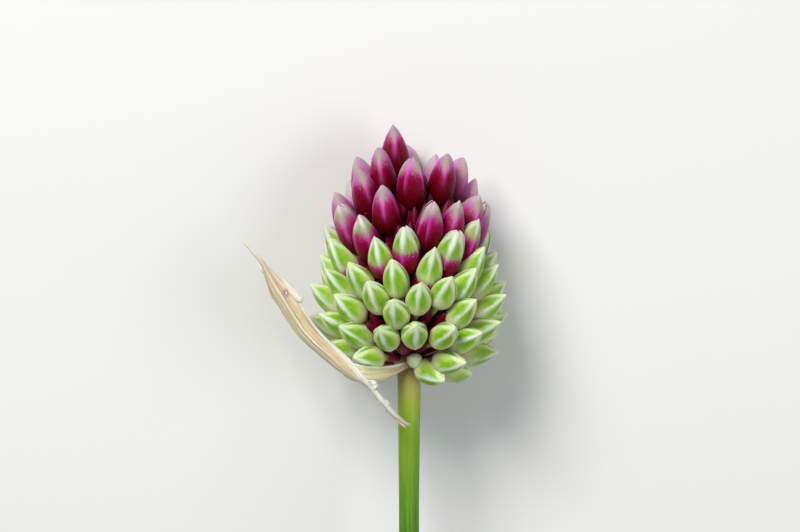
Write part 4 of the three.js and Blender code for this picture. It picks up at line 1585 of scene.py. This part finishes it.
def fibre_strings(draw):
    """Each fibre wanders a little and thins to its end."""
    strings = []
    for start, end, count, radius in FIBRES:
        start, end = np.array(start), np.array(end)
        for _ in range(count):
            sway = np.array([2 * next(draw) - 1 for _ in range(3)])
            spread = FIBRE_SPREAD if count > 1 else 0.0
            share = np.linspace(0, 1, FIBRE_POINTS)[:, None]
            bow = sway * FIBRE_BOW * 4 * share * (1 - share)
            points = start + (end + sway * spread - start) * share + bow
            strings.append({"points": points, "thickness": radius * (1 - 0.75 * share[:, 0]),
                            "across": 1.3 + next(draw), "run": 10 * next(draw)})
    return strings


fibres = sweep("spathe_fibres", fibre_strings(draws(FIBRE_SEED)), FIBRE_SIDES, sheath_skin,
               ("across", "run"))

# %% [markdown]
# ## The bud that never filled out
#
# One small grey-green bud sits right under the head, at the top of the scape. It is planted from one
# of the green forms and has a duller finish of its own.

# %% Plant the small bud
STUNTED_LEAN = 90
STUNTED_TURN = 11
STUNTED_REACH = 4.7
STUNTED_LENGTH = 2.2
STUNTED_GIRTH = 1.75
stunted_way = heading(STUNTED_LEAN, STUNTED_TURN)
stunted = {"way": stunted_way, "keel": np.array([0, -1.0, 0]),
           "base": stunted_way * (STUNTED_REACH - STUNTED_LENGTH), "length": STUNTED_LENGTH,
           "girth": STUNTED_GIRTH, "ripeness": 0.0, "tone": 0.4}


def small_bud_finish():
    """Dull grey-green with a paler midrib and a beige foot."""
    finish = Finish("small_bud_skin", Roughness=0.5, Subsurface_Weight=0.1, Subsurface_Scale=0.0005)
    across = finish.attribute("across")
    along = finish.attribute("along")
    fibre = finish.cloud(finish.vector(across * 8, along * 1.2, 4.0), 1.6, 3, 0.6)
    finish.colour(finish.coats(screen(204, 212, 164), [
        (finish.rise(fibre, 0.3, 0.7), screen(226, 230, 198)),
        (finish.rise(abs(across), 0.3, 0.05) * 0.6, screen(242, 244, 236)),
        (finish.rise(along, 0.4, 0.05) * 0.7, screen(214, 200, 176)),
    ]))
    finish.bump(fibre, 0.35, 0.00005)
    return finish.material


small_bud = plant("small_bud", [stunted], green_forms, small_bud_finish())

# %% [markdown]
# ## What each piece stands for
#
# Every piece moves with the one rigid body of the frame. The fine pieces take the place of the solid
# nodes that they keep the form of.

# %% Join the pieces to the frame
PIECES = [
    (purple_petals, "purple_buds", "purple_buds"),
    (purple_stalks, "purple_buds", "purple_buds"),
    (young_buds, "purple_buds", "purple_buds"),
    (young_stalks, "purple_buds", "purple_buds"),
    (green_petals, "green_buds", "green_buds"),
    (green_stalks, "green_buds", "green_buds"),
    (small_bud, "green_buds", "green_buds"),
    (scape_skin, "scape", "scape"),
    (sheath, "spathe", "spathe"),
    (flap, "spathe", "spathe"),
    (shreds, "spathe", "spathe"),
    (claw, "spathe", "spathe"),
    (fibres, "spathe", "spathe"),
]
for piece, node, slot in PIECES:
    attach(piece, "root")
    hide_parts(node)
    print(piece.name, "stands for", node)

# %% [markdown]
# ## Clearing away the forms
#
# The helpers' forms are cleared away.

# %% Clear away the forms
for forms in (green_forms, purple_forms, young_forms):
    for obj in list(forms.objects):
        bpy.data.objects.remove(obj)
    bpy.data.collections.remove(forms)
